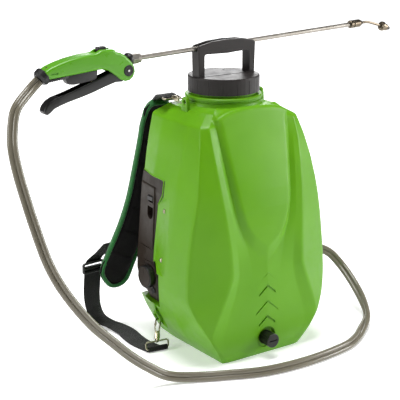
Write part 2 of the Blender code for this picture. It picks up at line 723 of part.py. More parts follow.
def battery_block(name, proud, margin, inner_x, slot):
    """A block whose outer face follows the module's side, proud of it by the given amount."""
    y0 = BATTERY_Y[0] - margin
    y1 = BATTERY_Y[1] + margin
    z0 = BATTERY_Z[0] - margin
    z1 = BATTERY_Z[1] + margin
    low = [(y0, z0), (y1, z0), (y1, z1), (y0, z1)]
    bm = bmesh.new()
    rings = [[bm.verts.new((inner_x, y, z)) for y, z in low],
             [bm.verts.new((-side_x(y, z) - proud, y, z)) for y, z in low]]
    loft_rings(bm, rings)
    bmesh.ops.triangulate(bm, faces=bm.faces)
    return finish_mesh(name, bm, slot, 25)


LATCH_Y = (0.0385, 0.0560)
LATCH_Z = (0.2620, 0.2700)


def make_module():
    housing = module_form("module_housing", 0.0, "module_grey")
    bevel(housing, 0.0030, 1, 20)
    cut(housing, module_form("housing_hollow", MODULE_WALL, None, 0.05))
    cut(housing, battery_block("battery_bay", 0.02, 0.0004, -0.05, None))
    # shallow dish round the speed knob, the shaft hole, and the outlet hole on the other side
    face_x = -side_x(KNOB_Y, KNOB_Z)
    cut(housing, rod("knob_dish", (face_x - 0.02, KNOB_Y, KNOB_Z), (face_x + 0.0012, KNOB_Y, KNOB_Z),
                     KNOB_R + 0.0022, None, 48))
    cut(housing, rod("knob_shaft_hole", (-0.15, KNOB_Y, KNOB_Z), (-0.11, KNOB_Y, KNOB_Z), 0.0036, None, 24))
    cut(housing,
        rod("outlet_hole", (0.11, OUTLET_Y, OUTLET_Z), (0.15, OUTLET_Y, OUTLET_Z), 0.0078, None, 32))
    # dark finger groove between the battery and the knob
    groove = prism("finger_groove", [(0.0200, 0.1490), (0.0200, 0.1590), (0.0810, 0.1605), (0.0810, 0.1495)],
                   "X", -0.20, -0.1262)
    cut(housing, groove)
    cut(housing, rod("socket_hole", (-0.15, 0.0330, 0.0990), (-0.11, 0.0330, 0.0990), 0.0040, None, 24))
    # ribs pressed into the panel behind the wearer's back
    for number in range(5):
        x = -0.070 + 0.035 * number
        cut(housing, prism(f"back_groove_{number}", [(0.0966, 0.1300), (0.0943, 0.2600), (0.12, 0.2600),
                                                      (0.12, 0.1300)], "X", x - 0.004, x + 0.004))
    return housing


def make_battery():
    pack = battery_block("battery_pack", 0.0022, 0.0, BATTERY_INNER_X, "module_grey")
    bevel(pack, 0.0022, 2, 40)
    # D-shaped finger recess, flat side up, and the slot the latch sits in
    mid_y = 0.0472
    half = 0.0105
    outline = [(mid_y + half, 0.2505), (mid_y + half, 0.2385)]
    outline += arc((mid_y, 0.2385), half, 0, -180, 12)[1:]
    outline += [(mid_y - half, 0.2505)]
    outline = list(reversed(outline))
    cut(pack, prism("finger_recess", outline, "X", -0.16, -0.1120))
    cut(pack, box("latch_slot", (-0.16, LATCH_Y[0] - 0.0008, LATCH_Z[0] - 0.0036),
                  (-0.1150, LATCH_Y[1] + 0.0008, LATCH_Z[1] + 0.0008)))
    latch = box("battery_latch", (-0.1248, LATCH_Y[0], LATCH_Z[0]), (-0.1153, LATCH_Y[1], LATCH_Z[1]),
                "black_plastic")
    bevel(latch, 0.0008)
    set_origin(latch, (-0.1200, sum(LATCH_Y) / 2, sum(LATCH_Z) / 2))
    set_origin(pack, (-0.0800, sum(BATTERY_Y) / 2, sum(BATTERY_Z) / 2))


def make_knob():
    base_x = -side_x(KNOB_Y, KNOB_Z) + 0.0012 - 0.0004
    knob = rod("speed_knob", (KNOB_FACE_X, KNOB_Y, KNOB_Z), (base_x, KNOB_Y, KNOB_Z), KNOB_R,
               "black_plastic", 40)
    bevel(knob, 0.0012, 1)
    cut(knob, rod("knob_face_seat", (-0.16, KNOB_Y, KNOB_Z), (KNOB_FACE_X + 0.0012, KNOB_Y, KNOB_Z),
                  KNOB_R - 0.0018, None, 48))
    cut(knob, rod("knob_shaft_socket", (base_x - 0.010, KNOB_Y, KNOB_Z), (-0.10, KNOB_Y, KNOB_Z), 0.0034,
                  None, 24))
    for step in range(8):
        angle = math.tau * (step + 0.37) / 8
        place = Vector((0, KNOB_Y + math.cos(angle) * (KNOB_R + 0.0006),
                        KNOB_Z + math.sin(angle) * (KNOB_R + 0.0006)))
        cut(knob, rod(f"knob_flute_{step}", place + Vector((KNOB_FACE_X + 0.003, 0, 0)),
                      place + Vector((base_x + 0.01, 0, 0)), 0.0013, None, 8))
    set_origin(knob, (base_x, KNOB_Y, KNOB_Z))
    face = rod("knob_face", (KNOB_FACE_X - 0.0004, KNOB_Y, KNOB_Z), (KNOB_FACE_X + 0.0009, KNOB_Y, KNOB_Z),
               KNOB_R - 0.0022, "module_grey", 48)
    cut(face, box("knob_pointer", (-0.16, KNOB_Y - 0.0009, KNOB_Z + 0.0040),
                  (KNOB_FACE_X, KNOB_Y + 0.0009, KNOB_Z + 0.0160)))
    set_origin(face, (base_x, KNOB_Y, KNOB_Z))
    shaft = rod("knob_shaft", (base_x - 0.0095, KNOB_Y, KNOB_Z), (-0.1135, KNOB_Y, KNOB_Z), 0.0030,
                "steel", 24)
    set_origin(shaft, (base_x, KNOB_Y, KNOB_Z))


def make_internals():
    board = box("controller_board", (-0.1100, 0.0350, 0.0930), (-0.1084, 0.0840, 0.1500), "board_green")
    bevel(board, 0.0004, 1)
    pot = box("speed_control", (-0.1130, KNOB_Y - 0.007, KNOB_Z - 0.007),
              (-0.1103, KNOB_Y + 0.007, KNOB_Z + 0.007),
              "black_plastic")
    bevel(pot, 0.0004, 1)
    rod("pump_motor", (-0.0600, 0.0560, 0.1150), (0.0120, 0.0560, 0.1150), 0.0190, "steel", 40)
    head = box("pump_head", (0.0124, 0.0330, 0.0920), (0.0600, 0.0800, 0.1400), "black_plastic")
    bevel(head, 0.0040, 2)
    cut(head, rod("pump_inlet", (0.045, 0.02, 0.0990), (0.045, 0.0400, 0.0990), 0.0062, None, 24))
    cut(head,
        rod("pump_outlet", (0.0560, OUTLET_Y, OUTLET_Z), (0.08, OUTLET_Y, OUTLET_Z), 0.0055, None, 24))
    turned("suction_fitting", [(0.0040, -0.0120), (0.0060, -0.0120), (0.0060, 0.0178), (0.0040, 0.0178)],
           (0.045, 0.0218, 0.0990), (0, 1, 0), "black_plastic", 32)
    route = [(0.045, 0.0090, 0.0990), (0.045, 0.000, 0.0985), (0.045, -0.0140, 0.0880),
             (0.045, -0.0180, 0.0700),
             (0.045, -0.0180, 0.0400), (0.045, -0.0180, 0.0325)]
    tube("suction_tube", smooth_path(route, 3), 0.0050, "hose", 2)
    pickup = turned("suction_filter", [(0.0, 0.0040), (0.0110, 0.0040), (0.0110, 0.0250), (0.0060, 0.0322),
                                       (0.0, 0.0322)],
                    (0.045, -0.0180, 0.0), (0, 0, 1), "black_plastic", 32)
    for step in range(6):
        groove = box(f"filter_groove_{step}", (0.0098, -0.0012, 0.0065), (0.0130, 0.0012, 0.0230))
        groove.rotation_euler.z = math.tau * step / 6
        groove.location = (0.045, -0.0180, 0.0)
        cut(pickup, groove)
    turned("outlet_fitting", [(0.0030, 0.0564), (0.0050, 0.0564), (0.0050, 0.1180), (0.0110, 0.1180),
                              (0.0110, 0.1215), (0.0070, 0.1215), (0.0070, 0.1330), (0.0058, 0.1340),
                              (0.0052, 0.1500), (0.0030, 0.1500)],
           (0, OUTLET_Y, OUTLET_Z), (1, 0, 0), "black_plastic", 20)
    nut = turned("outlet_nut", [(0.0075, 0.1295), (0.0135, 0.1295), (0.0135, 0.1480), (0.0110, 0.1512),
                                (0.0075, 0.1512)],
                 (0, OUTLET_Y, OUTLET_Z), (1, 0, 0), "black_plastic", 24)
    for step in range(8):
        angle = math.tau * (step + 0.37) / 8
        place = Vector((0, OUTLET_Y + math.cos(angle) * 0.0141, OUTLET_Z + math.sin(angle) * 0.0141))
        cut(nut, rod(f"outlet_flute_{step}", place + Vector((0.1310, 0, 0)), place + Vector((0.1470, 0, 0)),
                     0.0013, None, 8))
    set_origin(nut, (0.1400, OUTLET_Y, OUTLET_Z))
    cover = rod("socket_cover", (-side_x(0.0330, 0.0990) - 0.0020, 0.0330, 0.0990),
                (-0.1190, 0.0330, 0.0990),
                0.0036, "rubber", 20)
    join(cover, rod("socket_lip", (-side_x(0.0330, 0.0990) - 0.0024, 0.0330, 0.0990),
                    (-side_x(0.0330, 0.0990) - 0.0010, 0.0330, 0.0990), 0.0056, None, 24))


def make_screws():
    for side, label in ((LEFT, "left"), (RIGHT, "right")):
        for height, place in zip(SCREW_HEIGHTS, ("lower", "upper")):
            start, normal = screw_place(side, height)
            name = f"flange_screw_{place}_{label}"
            screw = turned(name, [(0.0, -0.0044), (0.0015, -0.0040), (0.0015, 0.0004), (0.0036, 0.0004),
                                  (0.0034, 0.0015), (0.0022, 0.0024), (0.0, 0.0026)],
                           start, normal, "zinc", 12)
            across = Vector((-normal.y, normal.x, 0.0))
            turn = Matrix((across, Vector((0, 0, 1)), normal)).transposed().to_4x4()
            for number, half in enumerate(((0.0021, 0.0005), (0.0005, 0.0021))):
                bar = box(f"{name}_cross_{number}", (-half[0], -half[1], 0.0013), (half[0], half[1], 0.004))
                bar.matrix_world = Matrix.Translation(start) @ turn
                cut(screw, bar)


# ---------------------------------------------------------------- lance and gun, in the lance's own frame

def lance_frame():
    empty = bpy.data.objects.new("lance_frame", None)
    PARTS.objects.link(empty)
    empty.location = (0, 0, LANCE_Z)
    empty.rotation_euler = (0, -LANCE_TILT, 0)
    return empty


GUN_OUTLINE = [(-0.3530, 0.0060), (-0.3525, -0.0090), (-0.3490, -0.0112), (-0.2450, -0.0106),
               (-0.2330, -0.0140),
               (-0.2170, -0.0280), (-0.2080, -0.0325), (-0.1990, -0.0318), (-0.1925, -0.0270),
               (-0.1885, -0.0190),
               (-0.1885, -0.0120), (-0.1930, -0.0100), (-0.1980, 0.0105), (-0.2060, 0.0150),
               (-0.2180, 0.0185),
               (-0.2300, 0.0222), (-0.2560, 0.0232), (-0.2730, 0.0238), (-0.3000, 0.0227),
               (-0.3270, 0.0178),
               (-0.3450, 0.0115)]
GUN_HALF = 0.0138
SLOT_HALF = 0.0104

LEVER_OUTLINE = [(-0.2355, -0.0150), (-0.2600, -0.0240), (-0.2880, -0.0330), (-0.3150, -0.0405),
                 (-0.3380, -0.0440),
                 (-0.3470, -0.0490), (-0.3515, -0.0570), (-0.3528, -0.0650), (-0.3508, -0.0705),
                 (-0.3465, -0.0720),
                 (-0.3415, -0.0690), (-0.3350, -0.0630), (-0.3240, -0.0590), (-0.2920, -0.0532),
                 (-0.2600, -0.0473),
                 (-0.2360, -0.0390), (-0.2220, -0.0348), (-0.2120, -0.0330)]
LEVER_HALF = 0.0098
LEVER_EAR = [(-0.1990, -0.0247), (-0.1945, -0.0215), (-0.1925, -0.0170), (-0.1935, -0.0112),
             (-0.2000, -0.0106), (-0.2090, -0.0106), (-0.2200, -0.0110)]


def make_gun(frame):
    gun = prism("gun_body", GUN_OUTLINE, "Y", -GUN_HALF, GUN_HALF, "gun_green")
    bevel(gun, 0.0042, 2, 50)
    cut(gun, box("lever_slot", (-0.2470, -SLOT_HALF, -0.0500), (-0.1915, SLOT_HALF, -0.0030)))
    cut(gun, rod("pivot_bore", (PIVOT_X, -0.03, PIVOT_Z), (PIVOT_X, 0.03, PIVOT_Z), 0.0034, None, 24))
    for side in (-1, 1):
        cut(gun, rod(f"pivot_seat_{side + 1}", (PIVOT_X, side * (GUN_HALF - 0.0010), PIVOT_Z),
                     (PIVOT_X, side * 0.03, PIVOT_Z), 0.0094, None, 40))
    cut(gun, box("lock_slot", (-0.2570, -0.0056, 0.0100), (-0.2230, 0.0056, 0.0400)))
    cut(gun, box("side_mark", (-0.3340, -0.02, 0.0000), (-0.3200, -GUN_HALF + 0.0012, 0.0022)))
    cut(gun, rod("ferrule_seat", (-0.2090, 0, 0), (-0.17, 0, 0), 0.0099, None, 40))
    ride(gun, frame)

    ferrule = turned("gun_ferrule",
                     [(0.0049, -0.2086), (0.0090, -0.2086), (0.0095, -0.2000), (0.0095, -0.1900),
                                     (0.0088, -0.1893), (0.0049, -0.1893)],
                     (0, 0, 0), (1, 0, 0), "black_plastic", 24)
    ride(ferrule, frame)

    flats = [(0.0093 * math.cos(math.radians(60 * step)), 0.0093 * math.sin(math.radians(60 * step)))
             for step in range(6)]
    nut = prism("lance_nut", flats, "X", -0.1889, -0.1765, "steel")
    bevel(nut, 0.0005, 1)
    join(nut, rod("lance_nut_collar", (-0.1780, 0, 0), (-0.1715, 0, 0), 0.0074))
    cut(nut, rod("lance_nut_bore", (-0.20, 0, 0), (-0.16, 0, 0), 0.0044, None, 32))
    ride(nut, frame)

    base = prism("gun_base",
                 [(-0.3380, -0.0116), (-0.3015, -0.0116), (-0.3015, -0.0146), (-0.3380, -0.0184)],
                 "Y", -0.0110, 0.0110, "black_plastic")
    for step in range(6):
        x = -0.3345 + step * 0.0054
        bottom = -0.0188 + (x + 0.3410) * 0.106
        groove = rod(f"base_groove_{step}", (x, -0.02, bottom - 0.0006), (x, 0.02, bottom - 0.0006),
                     0.0014, None, 10)
        cut(base, groove)
    ride(base, frame)

    block = box("valve_block", (-0.3010, -0.0056, -0.0236), (-0.2540, 0.0056, -0.0118), "black_plastic")
    bevel(block, 0.0012)
    cut(block, rod("valve_bore", (-0.2640, 0, -0.0260), (-0.2640, 0, -0.0124), 0.0026, None, 24))
    ride(block, frame)

    stem = rod("valve_stem", (-0.2640, 0, -0.0414), (-0.2640, 0, -0.0228), 0.0021, "brass", 24)
    ride(set_origin(stem, (-0.2640, 0, -0.0300)), frame)

    lever = prism("trigger_lever", LEVER_OUTLINE + LEVER_EAR, "Y",
                  -LEVER_HALF, LEVER_HALF, "black_plastic")
    bevel(lever, 0.0018, 1, 50)
    channel = [(-0.1800, 0.0100), (-0.3250, 0.0100), (-0.3250, -0.0440), (-0.3170, -0.0510),
               (-0.2880, -0.0458),
               (-0.2640, -0.0431), (-0.2360, -0.0345), (-0.2200, -0.0290), (-0.1800, -0.0290)]
    cut(lever, prism("lever_channel", channel, "Y", -0.0073, 0.0073))
    cut(lever, rod("lever_bore", (PIVOT_X, -0.03, PIVOT_Z), (PIVOT_X, 0.03, PIVOT_Z), 0.0034, None, 24))
    ride(set_origin(lever, (PIVOT_X, 0, PIVOT_Z)), frame)

    pin = rod("trigger_pin", (PIVOT_X, -GUN_HALF - 0.0006, PIVOT_Z), (PIVOT_X, GUN_HALF - 0.0002, PIVOT_Z),
              0.0030, "black_plastic", 20)
    head = rod("pin_head", (PIVOT_X, -GUN_HALF - 0.0012, PIVOT_Z), (PIVOT_X, -GUN_HALF + 0.0006, PIVOT_Z),
               0.0091, None, 24)
    tail = rod("pin_tail", (PIVOT_X, GUN_HALF + 0.0012, PIVOT_Z), (PIVOT_X, GUN_HALF - 0.0006, PIVOT_Z),
               0.0091, None, 24)
    join(pin, head)
    join(pin, tail)
    cut(pin, rod("pin_dimple", (PIVOT_X, -0.03, PIVOT_Z), (PIVOT_X, -GUN_HALF - 0.0002, PIVOT_Z), 0.0042,
                 None, 32))
    ride(pin, frame)
    button = rod("pin_button", (PIVOT_X, -GUN_HALF - 0.0014, PIVOT_Z),
                 (PIVOT_X, -GUN_HALF - 0.0005, PIVOT_Z),
                 0.0038, "white_plastic", 32)
    ride(button, frame)

    coil = []
    for step in range(4 * 10 + 1):
        angle = math.tau * step / 10
        coil.append((PIVOT_X + 0.0044 * math.cos(angle), -0.0048 + 0.0096 * step / 40,
                     PIVOT_Z + 0.0044 * math.sin(angle)))
    spring = tube("trigger_spring", coil, 0.0006, "steel", 1)
    ride(spring, frame)

    lock = box("trigger_lock", (-0.2520, -0.0052, 0.0130), (-0.2370, 0.0052, 0.0278), "black_plastic")
    bevel(lock, 0.0012)
    for step in range(3):
        x = -0.2485 + 0.0040 * step
        cut(lock, rod(f"lock_groove_{step}", (x, -0.01, 0.0282), (x, 0.01, 0.0282), 0.0010, None, 10))
    ride(set_origin(lock, (-0.2445, 0, 0.0200)), frame)

    direction = Vector((-math.cos(math.radians(38)), 0, -math.sin(math.radians(38))))
    start = HOSE_NUT_START
    hose_nut = turned("hose_nut", [(0.0068, 0.0), (0.0128, 0.0), (0.0142, 0.0020), (0.0142, 0.0095),
                                   (0.0112, 0.0135), (0.0068, 0.0135)],
                      start, direction, "black_plastic", 24)
    ride(hose_nut, frame)
    elbow = rod("hose_tail", start + direction * 0.0100, start - direction * 0.0098, 0.0062, "brass", 24)
    ride(elbow, frame)
    cut(gun, rod("tail_bore", start + direction * 0.02, start - direction * 0.0102, 0.0066, None, 24))
    cut(gun, rod("nut_seat", start + direction * 0.03, start - direction * 0.0004, 0.0150, None, 40))


HOSE_NUT_START = Vector((-0.3475, 0.0, -0.0020))


def make_lance(frame):
    lance = turned("lance_tube", ring_profile(0.0031, LANCE_R, -0.2050, LANCE_END_X), (0, 0, 0), (1, 0, 0),
                   "steel", 20)
    ride(lance, frame)

    end_nut = turned("lance_end_nut",
                     [(0.0043, 0.2880), (0.0068, 0.2880), (0.0074, 0.2888), (0.0074, 0.2935),
                                       (0.0060, 0.2942), (0.0060, 0.2965), (0.0072, 0.2972),
                                       (0.0072, 0.3105),
                                       (0.0060, 0.3130), (0.0034, 0.3180), (0.0027, 0.3180),
                                       (0.0027, 0.2990),
                                       (0.0043, 0.2985)],
                     (0, 0, 0), (1, 0, 0), "zinc", 16)
    ride(set_origin(end_nut, (0.3000, 0, 0)), frame)

    bend = [(0.2992, 0, 0), (0.3200, 0, 0), (0.3300, 0, -0.0004), (0.3400, 0, -0.0026),
            (0.3620, 0, -0.0100),
            (0.3700, 0, -0.0128)]
    elbow = tube("elbow_tube", smooth_path(bend, 3), 0.0023, "steel", 2)
    ride(elbow, frame)

    axis = (Vector(bend[-1]) - Vector(bend[-2])).normalized()
    tip = Vector(bend[-1])
    nozzle = turned("nozzle_nut",
                    [(0.0026, -0.0045), (0.0050, -0.0045), (0.0085, -0.0030), (0.0088, -0.0010),
                                   (0.0088, 0.0015), (0.0065, 0.0030), (0.0062, 0.0105), (0.0038, 0.0105),
                                   (0.0038, 0.0008), (0.0026, 0.0008)],
                    tip, axis, "zinc", 18)
    ride(set_origin(nozzle, tip), frame)
    nozzle_tip = turned("nozzle_tip", [(0.0, 0.0012), (0.0035, 0.0012), (0.0035, 0.0108), (0.0044, 0.0110),
                                       (0.0040, 0.0150), (0.0026, 0.0185), (0.0007, 0.0185),
                                       (0.0007, 0.0160),
                                       (0.0, 0.0160)],
                        tip, axis, "black_plastic", 14)
    ride(nozzle_tip, frame)


# ---------------------------------------------------------------- hose and straps

HOSE_ROUTE = [
    (0.1520, 0.0520, 0.1180), (0.1750, 0.0520, 0.1180), (0.2100, 0.0500, 0.1150), (0.2450, 0.0420, 0.1080),
    (0.2740, 0.0250, 0.0960), (0.2860, 0.0000, 0.0740), (0.2830, -0.0400, 0.0500),
    (0.2690, -0.0840, 0.0290),
    (0.2460, -0.1210, 0.0160), (0.2050, -0.1530, 0.0090), (0.1650, -0.1800, 0.0088),
    (0.1200, -0.1970, 0.0088),
    (0.0320, -0.2060, 0.0088), (-0.0520, -0.1980, 0.0088), (-0.1180, -0.1720, 0.0088),
    (-0.1580, -0.1530, 0.0090),
    (-0.2050, -0.1330, 0.0150), (-0.2420, -0.1270, 0.0380), (-0.2740, -0.1210, 0.0640),
    (-0.3040, -0.1180, 0.0940),
    (-0.3340, -0.1130, 0.1250), (-0.3600, -0.1050, 0.1600), (-0.3840, -0.0950, 0.2010),
    (-0.3990, -0.0820, 0.2420),
    (-0.4100, -0.0660, 0.2960), (-0.4150, -0.0550, 0.3290), (-0.4220, -0.0430, 0.3750),
    (-0.4240, -0.0330, 0.4120),
    (-0.4180, -0.0220, 0.4400), (-0.4060, -0.0130, 0.4700),
]


def make_hose():
    direction = Vector((-math.cos(math.radians(38)), 0, -math.sin(math.radians(38))))
    turn = Matrix.Rotation(-LANCE_TILT, 3, "Y")
    end = Vector((0, 0, LANCE_Z)) + turn @ (HOSE_NUT_START + direction * 0.0139)
    ahead = (turn @ direction)
    route = [Vector(p) for p in HOSE_ROUTE] + [end + ahead * 0.0200, end]
    points = even_path(smooth_path(route, 8), 0.0250)
    tube("hose", points, HOSE_R, "hose", 2)


def ribbon(name, stations, thickness, slot, chamfer=0.0):
    """A flat band through stations of (middle, half-width vector, face direction)."""
    bm = bmesh.new()
    rings = []
    for middle, half, face in stations:
        middle = Vector(middle)
        half = Vector(half)
        face = Vector(face).normalized() * thickness / 2
        edge = half.normalized() * chamfer
        deep = face.normalized() * chamfer
        if chamfer:
            ring = [middle - half + edge - face, middle + half - edge - face, middle + half - face + deep,
                    middle + half + face - deep, middle + half - edge + face, middle - half + edge + face,
                    middle - half + face - deep, middle - half - face + deep]
        else:
            ring = [middle - half - face, middle + half - face, middle + half + face, middle - half + face]
        rings.append([bm.verts.new(co) for co in ring])
    loft_rings(bm, rings)
    return finish_mesh(name, bm, slot, 40)


def route_stations(route, half, steps):
    """Even stations along a smooth route; the face direction follows from the width direction."""
    points = smooth_path([place for place, _ in route], steps)
    hints = smooth_path([hint for _, hint in route], steps)
    stations = []
    for i, point in enumerate(points):
        before = points[max(0, i - 1)]
        after = points[min(len(points) - 1, i + 1)]
        along = (after - before).normalized()
        wide = hints[i] - along * hints[i].dot(along)
        wide = wide.normalized()
        stations.append((point, wide * half, along.cross(wide)))
    return stations


# middle of the pad and the direction across it, for the left strap
PAD_ROUTE = [
    ((-0.0670, 0.0990, 0.4230), (1, 0, 0)),
    ((-0.0660, 0.1110, 0.4130), (1, 0, 0)),
    ((-0.0645, 0.1180, 0.3930), (1, 0, 0)),
    ((-0.0660, 0.1215, 0.3600), (1, 0, 0)),
    ((-0.0775, 0.1250, 0.3000), (1, 0, 0)),
    ((-0.0910, 0.1280, 0.2400), (1, 0, 0)),
    ((-0.1080, 0.1310, 0.1900), (1, 0, 0)),
    ((-0.1300, 0.1320, 0.1450), (1, 0, 0)),
    ((-0.1510, 0.1300, 0.1060), (1, 0, 0)),
    ((-0.1620, 0.1290, 0.0880), (1, 0, 0)),
]
PAD_HALF = 0.0310
PAD_T = 0.0110

# route of the lower webbing and the direction across it, from the buckle to the ring on the ground
LOWER_WEB_ROUTE = [
    ((-0.1872, 0.1425, 0.1125), (0.995, 0.10, 0.0)),
    ((-0.1890, 0.1450, 0.0880), (0.995, 0.10, 0.0)),
    ((-0.1880, 0.1480, 0.0640), (0.985, 0.17, 0.0)),
    ((-0.1825, 0.1505, 0.0400), (0.950, 0.31, 0.0)),
    ((-0.1705, 0.1500, 0.0190), (0.860, 0.50, 0.0)),
    ((-0.1570, 0.1400, 0.0075), (0.760, 0.65, 0.0)),
    ((-0.1480, 0.1230, 0.0035), (0.850, 0.50, 0.0)),
    ((-0.1460, 0.0980, 0.0022), (0.990, 0.10, 0.0)),
    ((-0.1500, 0.0700, 0.0018), (0.990, -0.10, 0.0)),
    ((-0.1520, 0.0430, 0.0016), (1.000, 0.00, 0.0)),
    ((-0.1490, 0.0180, 0.0016), (0.989, -0.120, 0.0)),
    ((-0.1462, 0.0020, 0.0016), (0.989, -0.151, 0.0)),
]
RING_BAR = Vector((-0.1450, -0.0045, 0.0056))
RING_ALONG = Vector((0.989, -0.151, 0.0)).normalized()
RING_UP = Vector((0.10, 0.36, 0.93)).normalized()
RING_HALF = 0.0215
RING_HEIGHT = 0.0125


def make_strap(side, label):
    pad_route = [(mirror_x(p, side), Vector(h)) for p, h in PAD_ROUTE]
    stations = route_stations(pad_route, PAD_HALF, 2)
    shaped = []
    count = len(stations) - 1
    for i, (middle, half, face) in enumerate(stations):
        from_end = min(i, count - i)
        narrow = {0: 0.45, 1: 0.85}.get(from_end, 1.0)
        if i <= 4:
            narrow = min(narrow, 0.50 + 0.125 * i)
        shaped.append((middle, half * narrow, face))
    ribbon(f"strap_pad_{label}", shaped, PAD_T, "pad_fabric", 0.0022)

    # short webbing from the upper hook to the top of the pad
    top_route = [((-0.0790, 0.0475, 0.4400), (1, 0, 0)), ((-0.0775, 0.0600, 0.4415), (1, 0, 0)),
                 ((-0.0730, 0.0780, 0.4385), (1, 0, 0)), ((-0.0680, 0.0935, 0.4305), (1, 0, 0))]
    top = [(mirror_x(p, side), Vector(h)) for p, h in top_route]
    ribbon(f"strap_top_webbing_{label}", route_stations(top, TOP_WEBBING_HALF, 2), 0.0034, "webbing")

    # upper snap hook: a long wire link through the lug beside the neck
    make_link(f"strap_upper_hook_{label}", side)

    # ladder buckle at the end of the pad
    center = mirror_x((-0.1870, 0.1430, 0.1240), side)
    frame = box(f"strap_buckle_{label}", (-0.0225, -0.0035, -0.0085), (0.0225, 0.0035, 0.0085),
                "black_plastic")
    bevel(frame, 0.0016, 1)
    for offset in (-0.0042, 0.0042):
        opening = box(f"buckle_opening_{label}_{int(offset > 0)}", (-0.0192, -0.02, offset - 0.0022),
                      (0.0192, 0.02, offset + 0.0022))
        opening.location = center
        opening.rotation_euler = (0, 0, math.radians(6) * side * -1)
        cut(frame, opening)
    frame.location = center
    frame.rotation_euler = (0, 0, math.radians(6) * side * -1)

    lower = [(mirror_x(p, side), Vector((h[0], h[1] * -side, h[2] * -side))) for p, h in LOWER_WEB_ROUTE]
    stations = route_stations(lower, WEBBING_HALF, 2)
    # the end is folded back over the lower bar of the ring
    bar = mirror_x(RING_BAR, side)
    along = mirror_x(RING_ALONG, side) * -side
    ahead = Vector((-along.y, along.x, 0.0)) * -1
    for step in range(1, 8):
        angle = math.radians(-90 + 30 * step)
        out = ahead * math.cos(angle) + Vector((0, 0, 1)) * math.sin(angle)
        stations.append((bar + out * 0.0040, along * WEBBING_HALF, -out))
    for middle, half, face in stations[-8:]:
        half.normalize()
        half *= WEBBING_HALF
    ribbon(f"strap_lower_webbing_{label}", stations, WEBBING_T, "webbing")

    make_lower_ring(side, label)
    make_lower_hook(side, label)


def make_link(name, side):
    """A closed wire link lying level; its near end passes through the lug's hole."""
    half = 0.0070
    x = -0.0800
    points = []
    for middle_y, start in ((0.0070, 180), (0.0350, 0)):
        for step in range(7):
            angle = math.radians(start + 30 * step)
            points.append((x + half * math.cos(angle), middle_y + half * math.sin(angle), 0.4405))
    tube(name, [mirror_x(p, side) for p in points], WIRE_R, "zinc", 1, True)


def make_lower_ring(side, label):
    """Rectangular wire ring that carries the end of the lower webbing on its lower bar."""
    corner = 0.0030
    middle = RING_BAR + RING_UP * RING_HEIGHT / 2
    points = []
    for sign_x, sign_y, start in ((1, 1, 0), (-1, 1, 90), (-1, -1, 180), (1, -1, 270)):
        for step in range(4):
            angle = math.radians(start + 30 * step)
            across = sign_x * (RING_HALF - corner) + corner * math.cos(angle)
            height = sign_y * (RING_HEIGHT / 2 - corner) + corner * math.sin(angle)
            points.append(middle + RING_ALONG * across + RING_UP * height)
    tube(f"strap_ring_{label}", [mirror_x(p, side) for p in points], 0.0014, "zinc", 1, True)


def make_lower_hook(side, label):
    """Wire link from the loop in the tank down to the ring; its two ends are turned across each other."""
    top = EYELET + Vector((0.0035, 0.0, -0.0078))
    bottom = RING_BAR + RING_UP * RING_HEIGHT
    along = (bottom - top).normalized()
    half = 0.0044
    reach = 0.0004
    points = []
    for middle, around, sign in ((top, Vector((0, 1, 0)), -1), (bottom, RING_ALONG, 1)):
        across = along.cross(around).normalized()
        lengthways = around.cross(across).normalized()
        if lengthways.dot(along) < 0:
            lengthways = -lengthways
        for step in range(7):
            angle = math.radians(30 * step)
            points.append(middle + lengthways * sign * (half * math.sin(angle) + reach)
                          + across * half * math.cos(angle) * -sign)
    tube(f"strap_lower_hook_{label}", [mirror_x(p, side) for p in points], 0.0013, "zinc", 1, True)


make_tank()
make_drain()
make_strainer()
make_cap()
make_cap_parts()
make_module()
make_battery()
make_knob()
make_internals()
make_screws()
FRAME = lance_frame()
make_gun(FRAME)
make_lance(FRAME)
carry_cutters(FRAME)
make_hose()
make_strap(LEFT, "left")
make_strap(RIGHT, "right")
bpy.context.view_layer.update()
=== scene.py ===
"""Looks of the battery backpack sprayer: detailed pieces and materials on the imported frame."""

import json
import math

import bmesh
import bpy
import numpy as np
from mathutils import Matrix, Vector


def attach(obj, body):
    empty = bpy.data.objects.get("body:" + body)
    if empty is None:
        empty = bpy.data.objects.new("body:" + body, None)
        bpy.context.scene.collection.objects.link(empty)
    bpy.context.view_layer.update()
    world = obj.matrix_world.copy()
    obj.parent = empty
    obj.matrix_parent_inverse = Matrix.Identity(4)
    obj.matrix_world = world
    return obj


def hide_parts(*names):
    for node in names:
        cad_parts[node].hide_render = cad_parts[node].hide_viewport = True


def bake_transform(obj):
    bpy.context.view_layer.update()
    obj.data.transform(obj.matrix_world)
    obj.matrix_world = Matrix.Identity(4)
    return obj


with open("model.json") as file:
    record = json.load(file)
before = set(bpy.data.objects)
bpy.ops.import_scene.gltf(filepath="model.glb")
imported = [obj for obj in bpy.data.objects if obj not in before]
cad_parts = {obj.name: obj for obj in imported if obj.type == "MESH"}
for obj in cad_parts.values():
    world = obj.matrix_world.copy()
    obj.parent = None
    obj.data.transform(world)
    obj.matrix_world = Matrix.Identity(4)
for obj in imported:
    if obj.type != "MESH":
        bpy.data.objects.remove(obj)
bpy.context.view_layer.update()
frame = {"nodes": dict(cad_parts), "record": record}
NODES = frame["nodes"]

# ---------------------------------------------------------------- camera

CAMERA_PLACE = (-1.2374, -1.6806, 0.8616)
CAMERA_TURN = (90 - 16.26, 0.0, -35.24)
CAMERA_LENS = 109.8


def make_camera():
    data = bpy.data.cameras.new("camera")
    data.sensor_width = 36.0
    data.lens = CAMERA_LENS
    data.clip_start = 0.05
    obj = bpy.data.objects.new("camera", data)
    obj.location = CAMERA_PLACE
    obj.rotation_euler = [math.radians(a) for a in CAMERA_TURN]
    bpy.context.scene.collection.objects.link(obj)
    bpy.context.scene.camera = obj


make_camera()

# ---------------------------------------------------------------- materials


